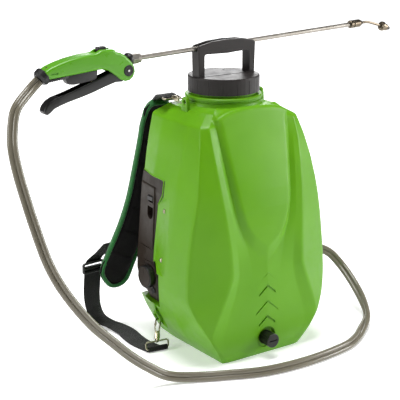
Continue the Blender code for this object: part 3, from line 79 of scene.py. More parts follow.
class Nodes:
    """Short calls for building a material's node tree."""

    def __init__(self, name):
        self.material = bpy.data.materials.new(name)
        self.material.use_nodes = True
        self.tree = self.material.node_tree
        self.shader = self.tree.nodes["Principled BSDF"]
        self.coords = self.tree.nodes.new("ShaderNodeTexCoord")

    def add(self, kind, inputs, **settings):
        """Adds a node; an input's value is a number, a colour or another node's output."""
        node = self.tree.nodes.new(kind)
        for key, value in settings.items():
            setattr(node, key, value)
        for key, value in inputs.items():
            if isinstance(value, bpy.types.NodeSocket):
                self.link(value, node.inputs[key])
            else:
                node.inputs[key].default_value = value
        return node

    def link(self, out, socket):
        self.tree.links.new(out, socket)

    def noise(self, scale, detail=3.0, rough=0.55, coords=None):
        place = coords or self.coords.outputs["Object"]
        return self.add("ShaderNodeTexNoise", {"Vector": place, "Scale": scale, "Detail": detail,
                                               "Roughness": rough}).outputs["Fac"]

    def span(self, value, low, high, to_low, to_high):
        return self.add("ShaderNodeMapRange", {"Value": value, "From Min": low, "From Max": high,
                                               "To Min": to_low, "To Max": to_high}).outputs["Result"]

    def math(self, operation, a, b):
        return self.add("ShaderNodeMath", {0: a, 1: b}, operation=operation).outputs[0]

    def mix(self, fac, a, b):
        return self.add("ShaderNodeMix", {0: fac, 6: (*a, 1.0), 7: (*b, 1.0)}, data_type="RGBA").outputs[2]

    def bump(self, height, strength, distance, under=None):
        node = self.add("ShaderNodeBump", {"Height": height, "Strength": strength, "Distance": distance})
        if under:
            self.link(under, node.inputs["Normal"])
        return node.outputs["Normal"]


def plastic(name, low, high, rough=(0.35, 0.5), grain=1500.0, grain_depth=0.00004, wave=18.0, wave_depth=0.0,
            specular=0.5, subsurface=0.0):
    """Moulded plastic: faint mottling, a fine surface grain and a slow waviness."""
    n = Nodes(name)
    mottle = n.noise(9.0, 4.0)
    n.link(n.mix(n.span(mottle, 0.35, 0.65, 0.0, 1.0), low, high), n.shader.inputs["Base Color"])
    n.link(n.span(n.noise(60.0, 5.0), 0.3, 0.7, *rough), n.shader.inputs["Roughness"])
    normal = n.bump(n.noise(grain, 2.0), 0.6, grain_depth)
    if wave_depth:
        normal = n.bump(n.noise(wave, 2.0, 0.4), 1.0, wave_depth, normal)
    n.link(normal, n.shader.inputs["Normal"])
    n.shader.inputs["Specular IOR Level"].default_value = specular
    if subsurface:
        n.shader.inputs["Subsurface Weight"].default_value = subsurface
        n.shader.inputs["Subsurface Radius"].default_value = (0.3, 1.0, 0.1)
        n.shader.inputs["Subsurface Scale"].default_value = 0.004
    return n.material


FITTING_BRUSH = (400, 400, 400)
BRUSH_DEPTH = 0.00001


def metal(name, low, high, rough, brush=FITTING_BRUSH):
    """Drawn or plated metal with fine lines along its length and slightly uneven polish."""
    n = Nodes(name)
    n.shader.inputs["Metallic"].default_value = 1.0
    place = n.add("ShaderNodeMapping", {"Vector": n.coords.outputs["Object"], "Scale": brush})
    lines = n.noise(1.0, 3.0, 0.6, place.outputs["Vector"])
    n.link(n.mix(n.span(n.noise(45.0, 4.0), 0.35, 0.65, 0.0, 1.0), low, high), n.shader.inputs["Base Color"])
    n.link(n.span(lines, 0.3, 0.7, *rough), n.shader.inputs["Roughness"])
    n.link(n.bump(lines, 0.5, BRUSH_DEPTH), n.shader.inputs["Normal"])
    return n.material


# scale of a wave texture whose bands lie one metre apart
WAVE_SCALE = 0.314


def woven(name, low, high, pitch, rough=0.8, depth=0.0003, uv=True, sheen=0.2, fuzz=0.0):
    """Cloth: threads crossing at the given pitch, fuzzy sheen and slow colour variation."""
    n = Nodes(name)
    place = n.coords.outputs["UV"] if uv else n.coords.outputs["Object"]
    threads = []
    for turn in ((0, 0, 0), (0, 0, math.pi / 2)):
        vector = n.add("ShaderNodeMapping", {"Vector": place, "Rotation": turn}).outputs["Vector"]
        wave = n.add("ShaderNodeTexWave", {"Vector": vector, "Scale": WAVE_SCALE / pitch, "Distortion": 0.4,
                                           "Detail": 1.0, "Detail Scale": 40.0})
        threads.append(wave.outputs["Fac"])
    weave = n.math("MAXIMUM", threads[0], threads[1])
    cloud = n.noise(35.0, 5.0)
    tone = n.math("MULTIPLY", n.span(cloud, 0.3, 0.7, 0.55, 1.0), n.span(weave, 0.0, 1.0, 0.35, 1.0))
    n.link(n.mix(tone, low, high), n.shader.inputs["Base Color"])
    n.link(n.span(cloud, 0.3, 0.7, rough - 0.08, rough + 0.08), n.shader.inputs["Roughness"])
    normal = n.bump(weave, 0.8, depth)
    if fuzz:
        normal = n.bump(n.noise(1400.0, 4.0), 0.9, fuzz, normal)
    n.link(normal, n.shader.inputs["Normal"])
    n.shader.inputs["Specular IOR Level"].default_value = 0.15
    n.shader.inputs["Sheen Weight"].default_value = sheen
    n.shader.inputs["Sheen Roughness"].default_value = 0.5
    return n.material


MAT = {
    "tank_green": plastic("tank_green_look", (0.108, 0.318, 0.004), (0.121, 0.345, 0.005), (0.34, 0.46),
                          900.0, 0.00006, 14.0, 0.0003, 0.26, 0.05),
    "gun_green": plastic("gun_green_look", (0.085, 0.31, 0.006), (0.095, 0.34, 0.008), (0.26, 0.38),
                         1600.0, 0.00003),
    "module_grey": plastic("module_grey_look", (0.022, 0.015, 0.010), (0.029, 0.020, 0.014), (0.42, 0.56),
                           1800.0, 0.00005, specular=0.28),
    "cap_grey": plastic("cap_grey_look", (0.017, 0.014, 0.013), (0.023, 0.019, 0.018), (0.36, 0.50),
                        1700.0, 0.00004, specular=0.3),
    "black_plastic": plastic("black_plastic_look", (0.006, 0.006, 0.006), (0.010, 0.009, 0.009), (0.30, 0.46),
                             1700.0, 0.00004),
    "white_plastic": plastic("white_plastic_look", (0.66, 0.66, 0.63), (0.72, 0.72, 0.69), (0.3, 0.4)),
    "steel": metal("steel_look", (0.29, 0.265, 0.23), (0.38, 0.355, 0.32), (0.36, 0.48), (20, 900, 900)),
    "zinc": metal("zinc_look", (0.36, 0.32, 0.23), (0.46, 0.42, 0.31), (0.24, 0.40)),
    "brass": metal("brass_look", (0.42, 0.33, 0.20), (0.50, 0.40, 0.25), (0.2, 0.35)),
    # darker brown metal for the nozzle's fittings: their own bronze tone with a dark warm reflection painted
    # into the colour
    "nozzle_bronze_and_reflection": metal("nozzle_bronze_and_reflection_look", (0.13, 0.105, 0.075), (0.21, 0.175, 0.13), (0.26, 0.42)),
    # a darker copy of the tank's green for the screw flange beside the module: painted shade for the shade
    # that flange lies in
    "flange_painted_shade": plastic("flange_painted_shade_look", (0.030, 0.150, 0.006), (0.040, 0.180, 0.008), (0.45, 0.60),
                            900.0, 0.00008, 14.0, 0.0003, 0.2, 0.05),
    "rubber": plastic("rubber_look", (0.010, 0.010, 0.010), (0.016, 0.016, 0.016), (0.6, 0.75), specular=0.3),
    "hose": plastic("hose_look", (0.150, 0.135, 0.098), (0.185, 0.168, 0.125), (0.16, 0.28), 900.0, 0.00002),
    "webbing": woven("webbing_look", (0.0015, 0.0015, 0.0015), (0.006, 0.0055, 0.0055), 0.0011, 0.72, 0.0002),
    "pad_fabric": woven("pad_look", (0.0015, 0.0015, 0.0015), (0.007, 0.006, 0.006), 0.0022, 0.85, 0.0003,
                        False, 0.1),
    "pad_green": woven("pad_green_look", (0.006, 0.055, 0.010), (0.022, 0.165, 0.035), 0.0024, 0.9, 0.0005,
                       False, 0.3, 0.0004),
    "board_green": plastic("board_look", (0.01, 0.12, 0.04), (0.02, 0.15, 0.05), (0.3, 0.45)),
}

# the nozzle's fittings are darker than the lance: partly their own bronze tone, partly a painted dark warm
# reflection
DARKER = {name: "nozzle_bronze_and_reflection" for name in ("elbow_tube", "lance_end_nut", "nozzle_nut")}
for entry in frame["record"]["subparts"]:
    node = NODES[entry["node"]]
    node.data.materials.clear()
    node.data.materials.append(MAT[DARKER.get(entry["node"], entry["material_slot"])])

# ---------------------------------------------------------------- floor, light

FLOOR_HALF = 6.0
# the floor glows more toward this side, so that it reads as a white backdrop there
BACKDROP_WAY = (0.577, 0.817, 0.0)
# name, place, aim, diameter, watts
LIGHTS = (
    ("right_front", (3.1, -2.0, 1.25), (0, 0, 0.25), 1.7, 98.0),
    ("left_side", (-3.3, 0.8, 1.7), (0, 0, 0.25), 1.6, 56.0),
    ("top", (-0.2, 0.0, 3.8), (0, 0, 0.25), 2.0, 140.0),
    ("behind", (2.1, 3.0, 1.55), (0, 0, 0.45), 1.5, 26.0),
)
WORLD_GLOW = 0.10


def make_stage():
    bm = bmesh.new()
    bmesh.ops.create_grid(bm, x_segments=1, y_segments=1, size=FLOOR_HALF)
    mesh = bpy.data.meshes.new("floor")
    bm.to_mesh(mesh)
    bm.free()
    floor = bpy.data.objects.new("floor", mesh)
    bpy.context.scene.collection.objects.link(floor)
    n = Nodes("floor_look")
    n.link(n.mix(n.noise(3.0), (0.93, 0.93, 0.93), (0.95, 0.95, 0.95)), n.shader.inputs["Base Color"])
    n.shader.inputs["Emission Color"].default_value = (1.0, 1.0, 1.0, 1.0)
    away = n.add("ShaderNodeVectorMath", {0: n.coords.outputs["Object"], 1: BACKDROP_WAY},
                 operation="DOT_PRODUCT")
    n.link(n.span(away.outputs["Value"], 0.3, 2.6, 0.34, 0.85), n.shader.inputs["Emission Strength"])
    n.shader.inputs["Roughness"].default_value = 0.9
    n.shader.inputs["Specular IOR Level"].default_value = 0.1
    mesh.materials.append(n.material)
    world = bpy.data.worlds.new("studio")
    world.use_nodes = True
    background = world.node_tree.nodes["Background"]
    background.inputs["Color"].default_value = (1.0, 1.0, 1.0, 1.0)
    background.inputs["Strength"].default_value = WORLD_GLOW
    bpy.context.scene.world = world
    bpy.context.scene.view_settings.view_transform = "Standard"
    for name, place, aim, size, power in LIGHTS:
        data = bpy.data.lights.new(name, "AREA")
        data.shape = "DISK"
        data.size = size
        data.energy = power
        lamp = bpy.data.objects.new(name, data)
        lamp.location = place
        lamp.rotation_euler = (Vector(aim) - Vector(place)).to_track_quat("-Z", "Y").to_euler()
        bpy.context.scene.collection.objects.link(lamp)


make_stage()

# ---------------------------------------------------------------- helpers


def mesh_object(name, points, faces, materials, smooth=True, sharp=40):
    """A new object from points and faces, with its faces turned outward."""
    mesh = bpy.data.meshes.new(name)
    mesh.from_pydata([tuple(p) for p in points], [], [tuple(f) for f in faces])
    mesh.validate()
    bm = bmesh.new()
    bm.from_mesh(mesh)
    bmesh.ops.recalc_face_normals(bm, faces=bm.faces)
    bm.to_mesh(mesh)
    bm.free()
    obj = bpy.data.objects.new(name, mesh)
    bpy.context.scene.collection.objects.link(obj)
    for material in materials if isinstance(materials, (list, tuple)) else [materials]:
        mesh.materials.append(MAT[material] if isinstance(material, str) else material)
    shade(obj, smooth, sharp)
    return obj


def shade(obj, smooth=True, sharp=40):
    """Smooth shading, with a crease where faces meet at more than the given angle (none at 0)."""
    mesh = obj.data
    mesh.polygons.foreach_set("use_smooth", [smooth] * len(mesh.polygons))
    if smooth and sharp:
        mesh.set_sharp_from_angle(angle=math.radians(sharp))


def apply_modifiers(obj):
    """Turns the object's modifiers into plain mesh."""
    graph = bpy.context.evaluated_depsgraph_get()
    graph.update()
    mesh = bpy.data.meshes.new_from_object(obj.evaluated_get(graph))
    old = obj.data
    obj.modifiers.clear()
    obj.data = mesh
    if old.users == 0:
        bpy.data.meshes.remove(old)
    return obj


def cut_all(obj, cutters):
    """Cuts every cutter out of the object, one after another, and removes the cutters."""
    for cutter in cutters:
        mod = obj.modifiers.new("cut", "BOOLEAN")
        mod.operation = "DIFFERENCE"
        mod.object = cutter
        mod.solver = "EXACT"
    apply_modifiers(obj)
    for cutter in cutters:
        mesh = cutter.data
        bpy.data.objects.remove(cutter, do_unlink=True)
        bpy.data.meshes.remove(mesh)
    return obj


def finish_piece(obj, body, replaced=()):
    """Gives a piece the body it moves with and the CAD nodes it stands for."""
    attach(obj, body)
    if replaced:
        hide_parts(*replaced)


def slab_faces(count):
    """Faces of a solid between two like outlines of so many points."""
    sides = [(i, (i + 1) % count, count + (i + 1) % count, count + i) for i in range(count)]
    return [tuple(range(count)), tuple(range(2 * count - 1, count - 1, -1))] + sides


def tube_faces(rows, count, closed=False):
    """Faces between rings of so many points, capped at both ends unless the last ring meets the first."""
    faces = []
    for i in range(rows if closed else rows - 1):
        low, high = i * count, ((i + 1) % rows) * count
        for j in range(count):
            k = (j + 1) % count
            faces.append((low + j, low + k, high + k, high + j))
    if not closed:
        faces.append(tuple(range(count)))
        faces.append(tuple(range(rows * count - 1, (rows - 1) * count - 1, -1)))
    return faces


def prism(name, outline, axis, low, high, material="tank_green"):
    """A closed outline in the plane across an axis, pushed along that axis."""
    order = {"X": (2, 0, 1), "Y": (0, 2, 1), "Z": (0, 1, 2)}[axis]
    points = [[(a, b, c)[k] for k in order] for c in (low, high) for a, b in outline]
    return mesh_object(name, points, slab_faces(len(outline)), material, False)


def block(name, low, high, material="black_plastic"):
    """A box between two corners."""
    return prism(name, [(low[0], low[1]), (high[0], low[1]), (high[0], high[1]), (low[0], high[1])], "Z",
                 low[2], high[2], material)


def bevelled(obj, width, segments=3, angle=35):
    """Rounds the edges that are sharper than the angle."""
    mod = obj.modifiers.new("bevel", "BEVEL")
    mod.width = width
    mod.segments = segments
    mod.limit_method = "ANGLE"
    mod.angle_limit = math.radians(angle)
    apply_modifiers(obj)
    shade(obj, True, 50)
    return obj


def frame_at(direction):
    """The turn that takes Z to the given direction."""
    return Vector((0, 0, 1)).rotation_difference(Vector(direction).normalized()).to_matrix()


def lathe(name, profile, start, direction, material, steps=96, closed=True):
    """Spins (radius, distance) points about an axis through start."""
    turn = frame_at(direction)
    start = Vector(start)
    points, faces = [], []
    count = len(profile)
    for step in range(steps):
        angle = math.tau * step / steps
        for radius, along in profile:
            points.append(start + turn @ Vector((radius * math.cos(angle), radius * math.sin(angle), along)))
    for step in range(steps):
        a, b = step * count, ((step + 1) % steps) * count
        for i in range(count if closed else count - 1):
            j = (i + 1) % count
            faces.append((a + i, b + i, b + j, a + j))
    obj = mesh_object(name, points, faces, material)
    bm = bmesh.new()
    bm.from_mesh(obj.data)
    bmesh.ops.remove_doubles(bm, verts=bm.verts, dist=1e-7)
    bmesh.ops.dissolve_degenerate(bm, edges=bm.edges, dist=1e-8)
    bmesh.ops.recalc_face_normals(bm, faces=bm.faces)
    bm.to_mesh(obj.data)
    bm.free()
    shade(obj, True, 38)
    return obj


def rod(name, start, end, radius, material="steel", steps=32, round_end=0.0):
    """A round bar from start to end, with rounded edges at both ends if asked for."""
    length = (Vector(end) - Vector(start)).length
    r = round_end
    profile = [(0, 0)]
    for low in (True, False):
        for k in range(4):
            angle = math.radians(k * 30) if r else 0
            ring = radius - r + r * (math.sin(angle) if low else math.cos(angle))
            along = (r - r * math.cos(angle)) if low else (length - r + r * math.sin(angle))
            profile.append((ring, along))
            if not r:
                break
    profile.append((0, length))
    return lathe(name, profile, start, Vector(end) - Vector(start), material, steps, False)


def catmull(points, steps):
    """A smooth curve through the points, with so many steps between each two."""
    points = [Vector(p) for p in points]
    ends = [points[0] * 2 - points[1]] + points + [points[-1] * 2 - points[-2]]
    out = []
    for i in range(1, len(ends) - 2):
        for step in range(steps):
            t = step / steps
            a, b, c, d = ends[i - 1:i + 3]
            out.append((b * 2 + (c - a) * t + (a * 2 - b * 5 + c * 4 - d) * t * t
                        + (b * 3 - a - c * 3 + d) * t * t * t) / 2)
    out.append(points[-1])
    return out


def run_lengths(points):
    """The distance along a path to each of its points."""
    lengths = [0.0]
    for a, b in zip(points, points[1:]):
        lengths.append(lengths[-1] + (b - a).length)
    return lengths


def square_to(vector, along):
    """The part of a vector that is square to a direction, made one long."""
    return (vector - along * vector.dot(along)).normalized()


def even(points, spacing):
    """The same path with points at even spacing."""
    lengths = run_lengths(points)
    count = max(2, round(lengths[-1] / spacing))
    out, j = [], 0
    for k in range(count + 1):
        want = lengths[-1] * k / count
        while j < len(points) - 2 and lengths[j + 1] < want:
            j += 1
        t = (want - lengths[j]) / max(1e-9, lengths[j + 1] - lengths[j])
        out.append(points[j].lerp(points[j + 1], min(1.0, t)))
    return out


def tangents(points, closed=False):
    """Unit directions of a path at its points."""
    out = []
    n = len(points)
    for i in range(n):
        a = points[(i - 1) % n] if closed else points[max(0, i - 1)]
        b = points[(i + 1) % n] if closed else points[min(n - 1, i + 1)]
        out.append((b - a).normalized())
    return out


def swept(name, points, ring, material, up=(0, 0, 1), closed=False, ups=None, sharp=40):
    """Moves a closed cross-section of (across, up) points along a path."""
    verts = []
    side_up = Vector(up)
    for i, (point, along) in enumerate(zip(points, tangents(points, closed))):
        side_up = square_to(Vector(ups[i]) if ups else side_up, along)
        across = along.cross(side_up)
        for a, b in ring:
            verts.append(point + (across * a + side_up * b))
    return mesh_object(name, verts, tube_faces(len(points), len(ring), closed), material, True, sharp)


def circle(radius, steps=16):
    angles = (math.tau * k / steps for k in range(steps))
    return [(radius * math.cos(a), radius * math.sin(a)) for a in angles]


def joined(name, objects):
    """Joins several objects into the first one without a Boolean, keeping their materials."""
    first = objects[0]
    with bpy.context.temp_override(active_object=first, selected_editable_objects=objects):
        bpy.ops.object.join()
    first.name = name
    first.data.name = name
    return first


# ---------------------------------------------------------------- tank

# one row per height: front middle depth, then valley, inner edge of the ridge, crest, corner, side,
# rear side, back
TANK_ROWS = [
    (0.000, -0.1180, (0.036, -0.1180), (0.062, -0.1180), (0.074, -0.1175), (0.084, -0.1150), 0.084, 0.084,
     (0.079, 0.085)),
    (0.010, -0.1245, (0.040, -0.1240), (0.072, -0.1225), (0.083, -0.1215), (0.0905, -0.1185), 0.094, 0.092,
     (0.086, 0.086)),
    (0.030, -0.1310, (0.050, -0.1300), (0.088, -0.1265), (0.098, -0.1260), (0.103, -0.1245), 0.112, 0.108,
     (0.097, 0.087)),
    (0.057, -0.1320, (0.045, -0.1305), (0.090, -0.1275), (0.117, -0.1275), (0.120, -0.1260), 0.128, 0.122,
     (0.112, 0.087)),
    (0.090, -0.1320, (0.040, -0.1305), (0.079, -0.1280), (0.104, -0.1315), (0.139, -0.1160), 0.142, 0.137,
     (0.124, 0.090)),
    (0.122, -0.1320, (0.034, -0.1305), (0.067, -0.1280), (0.091, -0.1335), (0.150, -0.1055), 0.150, 0.145,
     (0.130, 0.092)),
    (0.159, -0.1310, (0.030, -0.1285), (0.058, -0.1280), (0.0755, -0.1345), (0.149, -0.1040), 0.150, 0.144,
     (0.127, 0.092)),
    (0.205, -0.1275, (0.040, -0.1245), (0.062, -0.1270), (0.0770, -0.1305), (0.1445, -0.1030), 0.146, 0.140,
     (0.124, 0.092)),
    (0.236, -0.1225, (0.049, -0.1200), (0.066, -0.1240), (0.0800, -0.1265), (0.1400, -0.1035), 0.141, 0.136,
     (0.119, 0.091)),
    (0.270, -0.1160, (0.056, -0.1145), (0.070, -0.1190), (0.0830, -0.1210), (0.1335, -0.1040), 0.136, 0.131,
     (0.115, 0.090)),
    (0.300, -0.1095, (0.062, -0.1085), (0.073, -0.1130), (0.0860, -0.1150), (0.127, -0.1030), 0.1315, 0.127,
     (0.111, 0.088)),
    (0.340, -0.1000, (0.067, -0.0990), (0.077, -0.1040), (0.0890, -0.1055), (0.120, -0.0960), 0.1225, 0.118,
     (0.106, 0.088)),
    (0.378, -0.0910, (0.072, -0.0905), (0.081, -0.0930), (0.0910, -0.0950), (0.111, -0.0870), 0.115, 0.111,
     (0.100, 0.087)),
    (0.411, -0.0815, (0.0745, -0.0815), (0.083, -0.0820), (0.0900, -0.0825), (0.1025, -0.0740), 0.105, 0.102,
     (0.094, 0.085)),
    (0.4285, -0.0640, (0.052, -0.0640), (0.060, -0.0635), (0.065, -0.0620), (0.074, -0.053), 0.078, 0.077,
     (0.070, 0.064)),
]
SIDE_Y = -0.045
REAR_SIDE_Y = 0.035
COLUMN_SAMPLES = (28, 20, 8, 16, 14, 16, 12, 12)
ROW_STEP = 0.0018
SHOULDER_SAMPLES = 14
# how many rounds of smoothing from row to row: body, foot, and just under the shoulder's edge
BODY_PASSES, FOOT_PASSES, EDGE_PASSES = 26, 10, 3
# raised panel: height, half width at the foot of its edge, half width of its face, middle depth, crown
PANEL_ROWS = [
    (0.176, 0.0000, 0.0000, -0.1330, 1.20), (0.186, 0.0160, 0.0000, -0.1332, 1.20),
    (0.203, 0.0330, 0.0000, -0.1335, 1.20), (0.212, 0.0390, 0.0130, -0.1333, 1.20),
    (0.220, 0.0440, 0.0250, -0.1330, 1.20),
    (0.240, 0.0520, 0.0395, -0.1315, 1.10), (0.270, 0.0590, 0.0510, -0.1275, 0.95),
    (0.300, 0.0635, 0.0560, -0.1210, 0.80), (0.345, 0.0685, 0.0615, -0.1090, 0.60),
    (0.385, 0.0730, 0.0665, -0.0975, 0.45), (0.4265, 0.0750, 0.0700, -0.0868, 0.35),
    (0.4600, 0.0750, 0.0700, -0.0790, 0.35),
]
PANEL_FACE_FROM = 0.205
PANEL_TOP = 0.4375
# the hood's edge drops toward its ends and curves back less than the panel below it
HOOD_DROP, HOOD_HALF, HOOD_CURVE, HOOD_CROWN = 0.0105, 0.070, 3.2, 0.35
HOOD_END_Z = 0.4345
NECK_PROFILE = [(0.0690, 0.4335), (0.0672, 0.4375), (0.0672, 0.4395), (0.0654, 0.4405), (0.0654, 0.4430),
                (0.0674, 0.4438), (0.0674, 0.4472), (0.0660, 0.4482), (0.0572, 0.4490), (0.0572, 0.4720),
                (0.0500, 0.4720), (0.0500, 0.4300)]
FLARE_STEPS = 8
FLARE_CURVE = 1.6


def dense(values, samples):
    """Straight steps between control values along the first axis."""
    out = []
    for a, b, count in zip(values, values[1:], samples):
        for step in range(count):
            out.append(a + (b - a) * step / count)
    out.append(values[-1])
    return np.array(out)


def relaxed(grid, axis, passes, wrap=False):
    """Rounds a grid's corners along one axis; passes may differ from row to row."""
    grid = grid.copy()
    passes = np.reshape(passes, [-1 if k == axis else 1 for k in range(3)])
    for number in range(int(passes.max())):
        shift = (np.roll(grid, 1, axis) + np.roll(grid, -1, axis)) / 4 - grid / 2
        if not wrap:
            # the two ends stay where they are
            np.moveaxis(shift, axis, 0)[[0, -1]] = 0
        grid += shift * (passes > number)
    return grid


def distance_to(points, line):
    """Distance from each 2-D point to a polyline."""
    best = np.full(len(points), 9.0)
    for a, b in zip(line, line[1:]):
        a, b = np.array(a), np.array(b)
        ab = b - a
        t = np.clip(((points - a) @ ab) / max(1e-12, ab @ ab), 0, 1)
        best = np.minimum(best, np.linalg.norm(points - a - t[:, None] * ab, axis=1))
    return best


def tank_grid():
    """The right half of the tank as rows of points from front to back, and the row of the shoulder's edge."""
    net = []
    for height, front, *half, side, rear, back in TANK_ROWS:
        row = [(0.0, front), *half, (side, SIDE_Y), (rear, REAR_SIDE_Y), back, (0.0, back[1])]
        net.append([(x, y, height) for x, y in row])
    net = np.array(net)
    heights = net[:, 0, 2]
    samples = [max(2, round((b - a) / ROW_STEP)) for a, b in zip(heights, heights[1:])]
    samples[-1] = SHOULDER_SAMPLES
    grid = dense(net, samples)
    grid = np.swapaxes(dense(np.swapaxes(grid, 0, 1), COLUMN_SAMPLES), 0, 1)
    edge = sum(samples[:-1])
    # soften the kinks between rows, less near the shoulder's edge
    passes = np.full(len(grid), BODY_PASSES)
    passes[:samples[0] + 4] = FOOT_PASSES
    passes[edge - 12:] = EDGE_PASSES
    return relaxed(grid, 0, passes), edge


def add_panel(grid, edge):
    """Raises the front panel and its hood over the shoulder."""
    table = np.array(PANEL_ROWS)
    front = sum(COLUMN_SAMPLES[:3])
    zone = grid[:, :front]
    step = np.linalg.norm(np.diff(zone[:, 0], axis=0), axis=1)
    height = zone[:, :, 2].copy()
    beyond = np.concatenate([[0], np.cumsum(step[edge:])])
    height[edge:] = (zone[edge, 0, 2] + beyond)[:, None]
    flat = np.stack([zone[:, :, 0].ravel(), height.ravel()], axis=1)
    foot = np.interp(flat[:, 1], table[:, 0], table[:, 1])
    face = np.interp(flat[:, 1], table[:, 0], table[:, 2])
    inside_foot = (flat[:, 0] < foot) & (flat[:, 1] > table[0, 0])
    inside_face = (flat[:, 0] < face) & (flat[:, 1] > PANEL_FACE_FROM)
    to_foot = distance_to(flat, [(x, z) for z, x, *_ in table])
    to_face = distance_to(flat, [(x, z) for z, _, x, *_ in table[2:]])
    share = np.where(inside_face, 1.0, np.where(inside_foot, to_foot / (to_foot + to_face + 1e-9), 0.0))
    share = share.reshape(height.shape)
    share = relaxed(relaxed(share[:, :, None], 0, 2), 1, 2)[:, :, 0]
    middle = np.interp(height, table[:, 0], table[:, 3])
    crown = np.interp(height, table[:, 0], table[:, 4])
    panel = zone.copy()
    panel[:, :, 1] = middle + crown * zone[:, :, 0] ** 2
    # over the shoulder the face goes on up, turns back at the hood's edge and runs in to the neck
    top_rows = len(grid) - edge
    for column in range(front):
        x = zone[edge, column, 0]
        top = PANEL_TOP - HOOD_DROP * (abs(x) / HOOD_HALF) ** HOOD_CURVE
        face_y = np.interp(top, table[:, 0], table[:, 3]) + HOOD_CROWN * x ** 2
        end = grid[-1, column]
        path = np.array([panel[edge, column], (x, face_y, top - 0.001),
                         (x * 0.985, face_y + 0.004, top + 0.0002), (end[0], end[1], HOOD_END_Z)])
        lengths = np.concatenate([[0], np.cumsum(np.linalg.norm(np.diff(path, axis=0), axis=1))])
        want = np.linspace(0, lengths[-1], top_rows)
        for axis in range(3):
            panel[edge:, column, axis] = np.interp(want, lengths, path[:, axis])
    panel = relaxed(panel, 0, np.where(np.arange(len(panel)) > edge - 6, 2, 0))
    share = share[:, :, None]
    grid[:, :front] = zone * (1 - share) + panel * share
    return grid


def make_tank():
    """The closed outer skin of the tank, from its underside to the rim of its neck."""
    grid, edge = tank_grid()
    grid = add_panel(grid, edge)
    # the other half, then the ring closed round
    left = grid[:, -2:0:-1] * np.array([-1, 1, 1])
    ring = np.concatenate([grid, left], axis=1)
    ring = relaxed(ring, 1, 1, True)
    columns = ring.shape[1]
    top = ring[-1]
    rows = [ring]
    around = np.arctan2(top[:, 1], top[:, 0])
    # flare in to the round neck, then the neck's own profile
    first_r, first_z = NECK_PROFILE[0]

    def round_row(radius, height):
        return np.stack([np.cos(around) * radius, np.sin(around) * radius, np.full(columns, height)], axis=1)

    target = round_row(first_r, first_z)
    flare = []
    for step in range(1, FLARE_STEPS):
        t = step / FLARE_STEPS
        rise = t ** FLARE_CURVE
        point = top * (1 - t) + target * t
        point[:, 2] = top[:, 2] * (1 - rise) + first_z * rise
        flare.append(point)
    rows.append(np.array(flare))
    rows.append(np.array([round_row(radius, height) for radius, height in NECK_PROFILE]))
    points = np.concatenate(rows)
    count = len(points)
    index = np.arange(count * columns).reshape(count, columns)
    nxt = np.roll(index, -1, axis=1)
    faces = np.stack([index[:-1], nxt[:-1], nxt[1:], index[1:]], axis=-1).reshape(-1, 4).tolist()
    flat = points.reshape(-1, 3)
    faces.append(tuple(range(columns - 1, -1, -1)))
    faces.append(tuple(index[-1].tolist()))
    return mesh_object("tank_shell", flat, faces, "tank_green", True, 30)


# pump module: height, front, back, half width at the front, middle and back
MODULE_ROWS = [
    (0.0774, 0.0224, 0.0860, 0.1215, 0.1190, 0.1060),
    (0.0950, 0.0224, 0.0950, 0.1270, 0.1260, 0.1170),
    (0.1250, 0.0224, 0.0980, 0.1290, 0.1285, 0.1220),
    (0.1480, 0.0344, 0.0980, 0.1280, 0.1280, 0.1215),
    (0.2620, 0.0224, 0.0955, 0.1225, 0.1205, 0.1130),
    (0.2810, -0.0026, 0.0945, 0.1250, 0.1195, 0.1120),
    (0.3086, -0.0026, 0.0930, 0.1220, 0.1160, 0.1080),
]
GAP = 0.0005
DRAIN_Z = 0.0340
# chevron grooves over the drain: height of the tip, reach to each side, depth of the floor
CHEVRONS = ((0.1560, 0.036, -0.1304), (0.1330, 0.018, -0.1292), (0.1040, 0.024, -0.1300),
            (0.0770, 0.018, -0.1290))
CHEVRON_DROP = 0.86
# the eyelet for the lower hook, and the corners of the pocket it sits in, for the left side
EYELET = Vector((-0.1225, 0.0300, 0.0500))
EYELET_POCKET = [(-0.1400, 0.0200, 0.0860), (-0.1330, 0.0030, 0.0440), (-0.1330, 0.0480, 0.0400),
                 (-0.1040, 0.0280, 0.0040), (-0.1120, 0.0300, 0.0640), (-0.1030, 0.0200, 0.0340),
                 (-0.1030, 0.0420, 0.0340)]


def mirrored(point, side):
    """A point given for the left side, on either side."""
    point = Vector(point)
    return point if side < 0 else Vector((-point.x, point.y, point.z))


def hull(name, points, material="tank_green"):
    """The convex solid round some points."""
    bm = bmesh.new()
    for point in points:
        bm.verts.new(point)
    made = bmesh.ops.convex_hull(bm, input=bm.verts)
    loose = [item for item in made["geom_interior"] if isinstance(item, bmesh.types.BMVert)]
    bmesh.ops.delete(bm, geom=loose, context="VERTS")
    mesh = bpy.data.meshes.new(name)
    bm.to_mesh(mesh)
    bm.free()
    obj = bpy.data.objects.new(name, mesh)
    bpy.context.scene.collection.objects.link(obj)
    mesh.materials.append(MAT[material])
    return obj


# screw flange beside the battery, from the top down: its inner lip and its fold at the tank's side
FLANGE_LIP = [(0.1238, 0.0177, 0.2619), (0.1264, 0.0208, 0.2102), (0.1295, 0.0240, 0.1580)]
FLANGE_FOLD = [(0.1330, -0.0246, 0.2818), (0.1416, -0.0270, 0.2249), (0.1488, -0.0286, 0.1467)]
FLANGE_SCREWS = ((-0.0086, 0.2567), (-0.0109, 0.1705))
FAR = 0.20


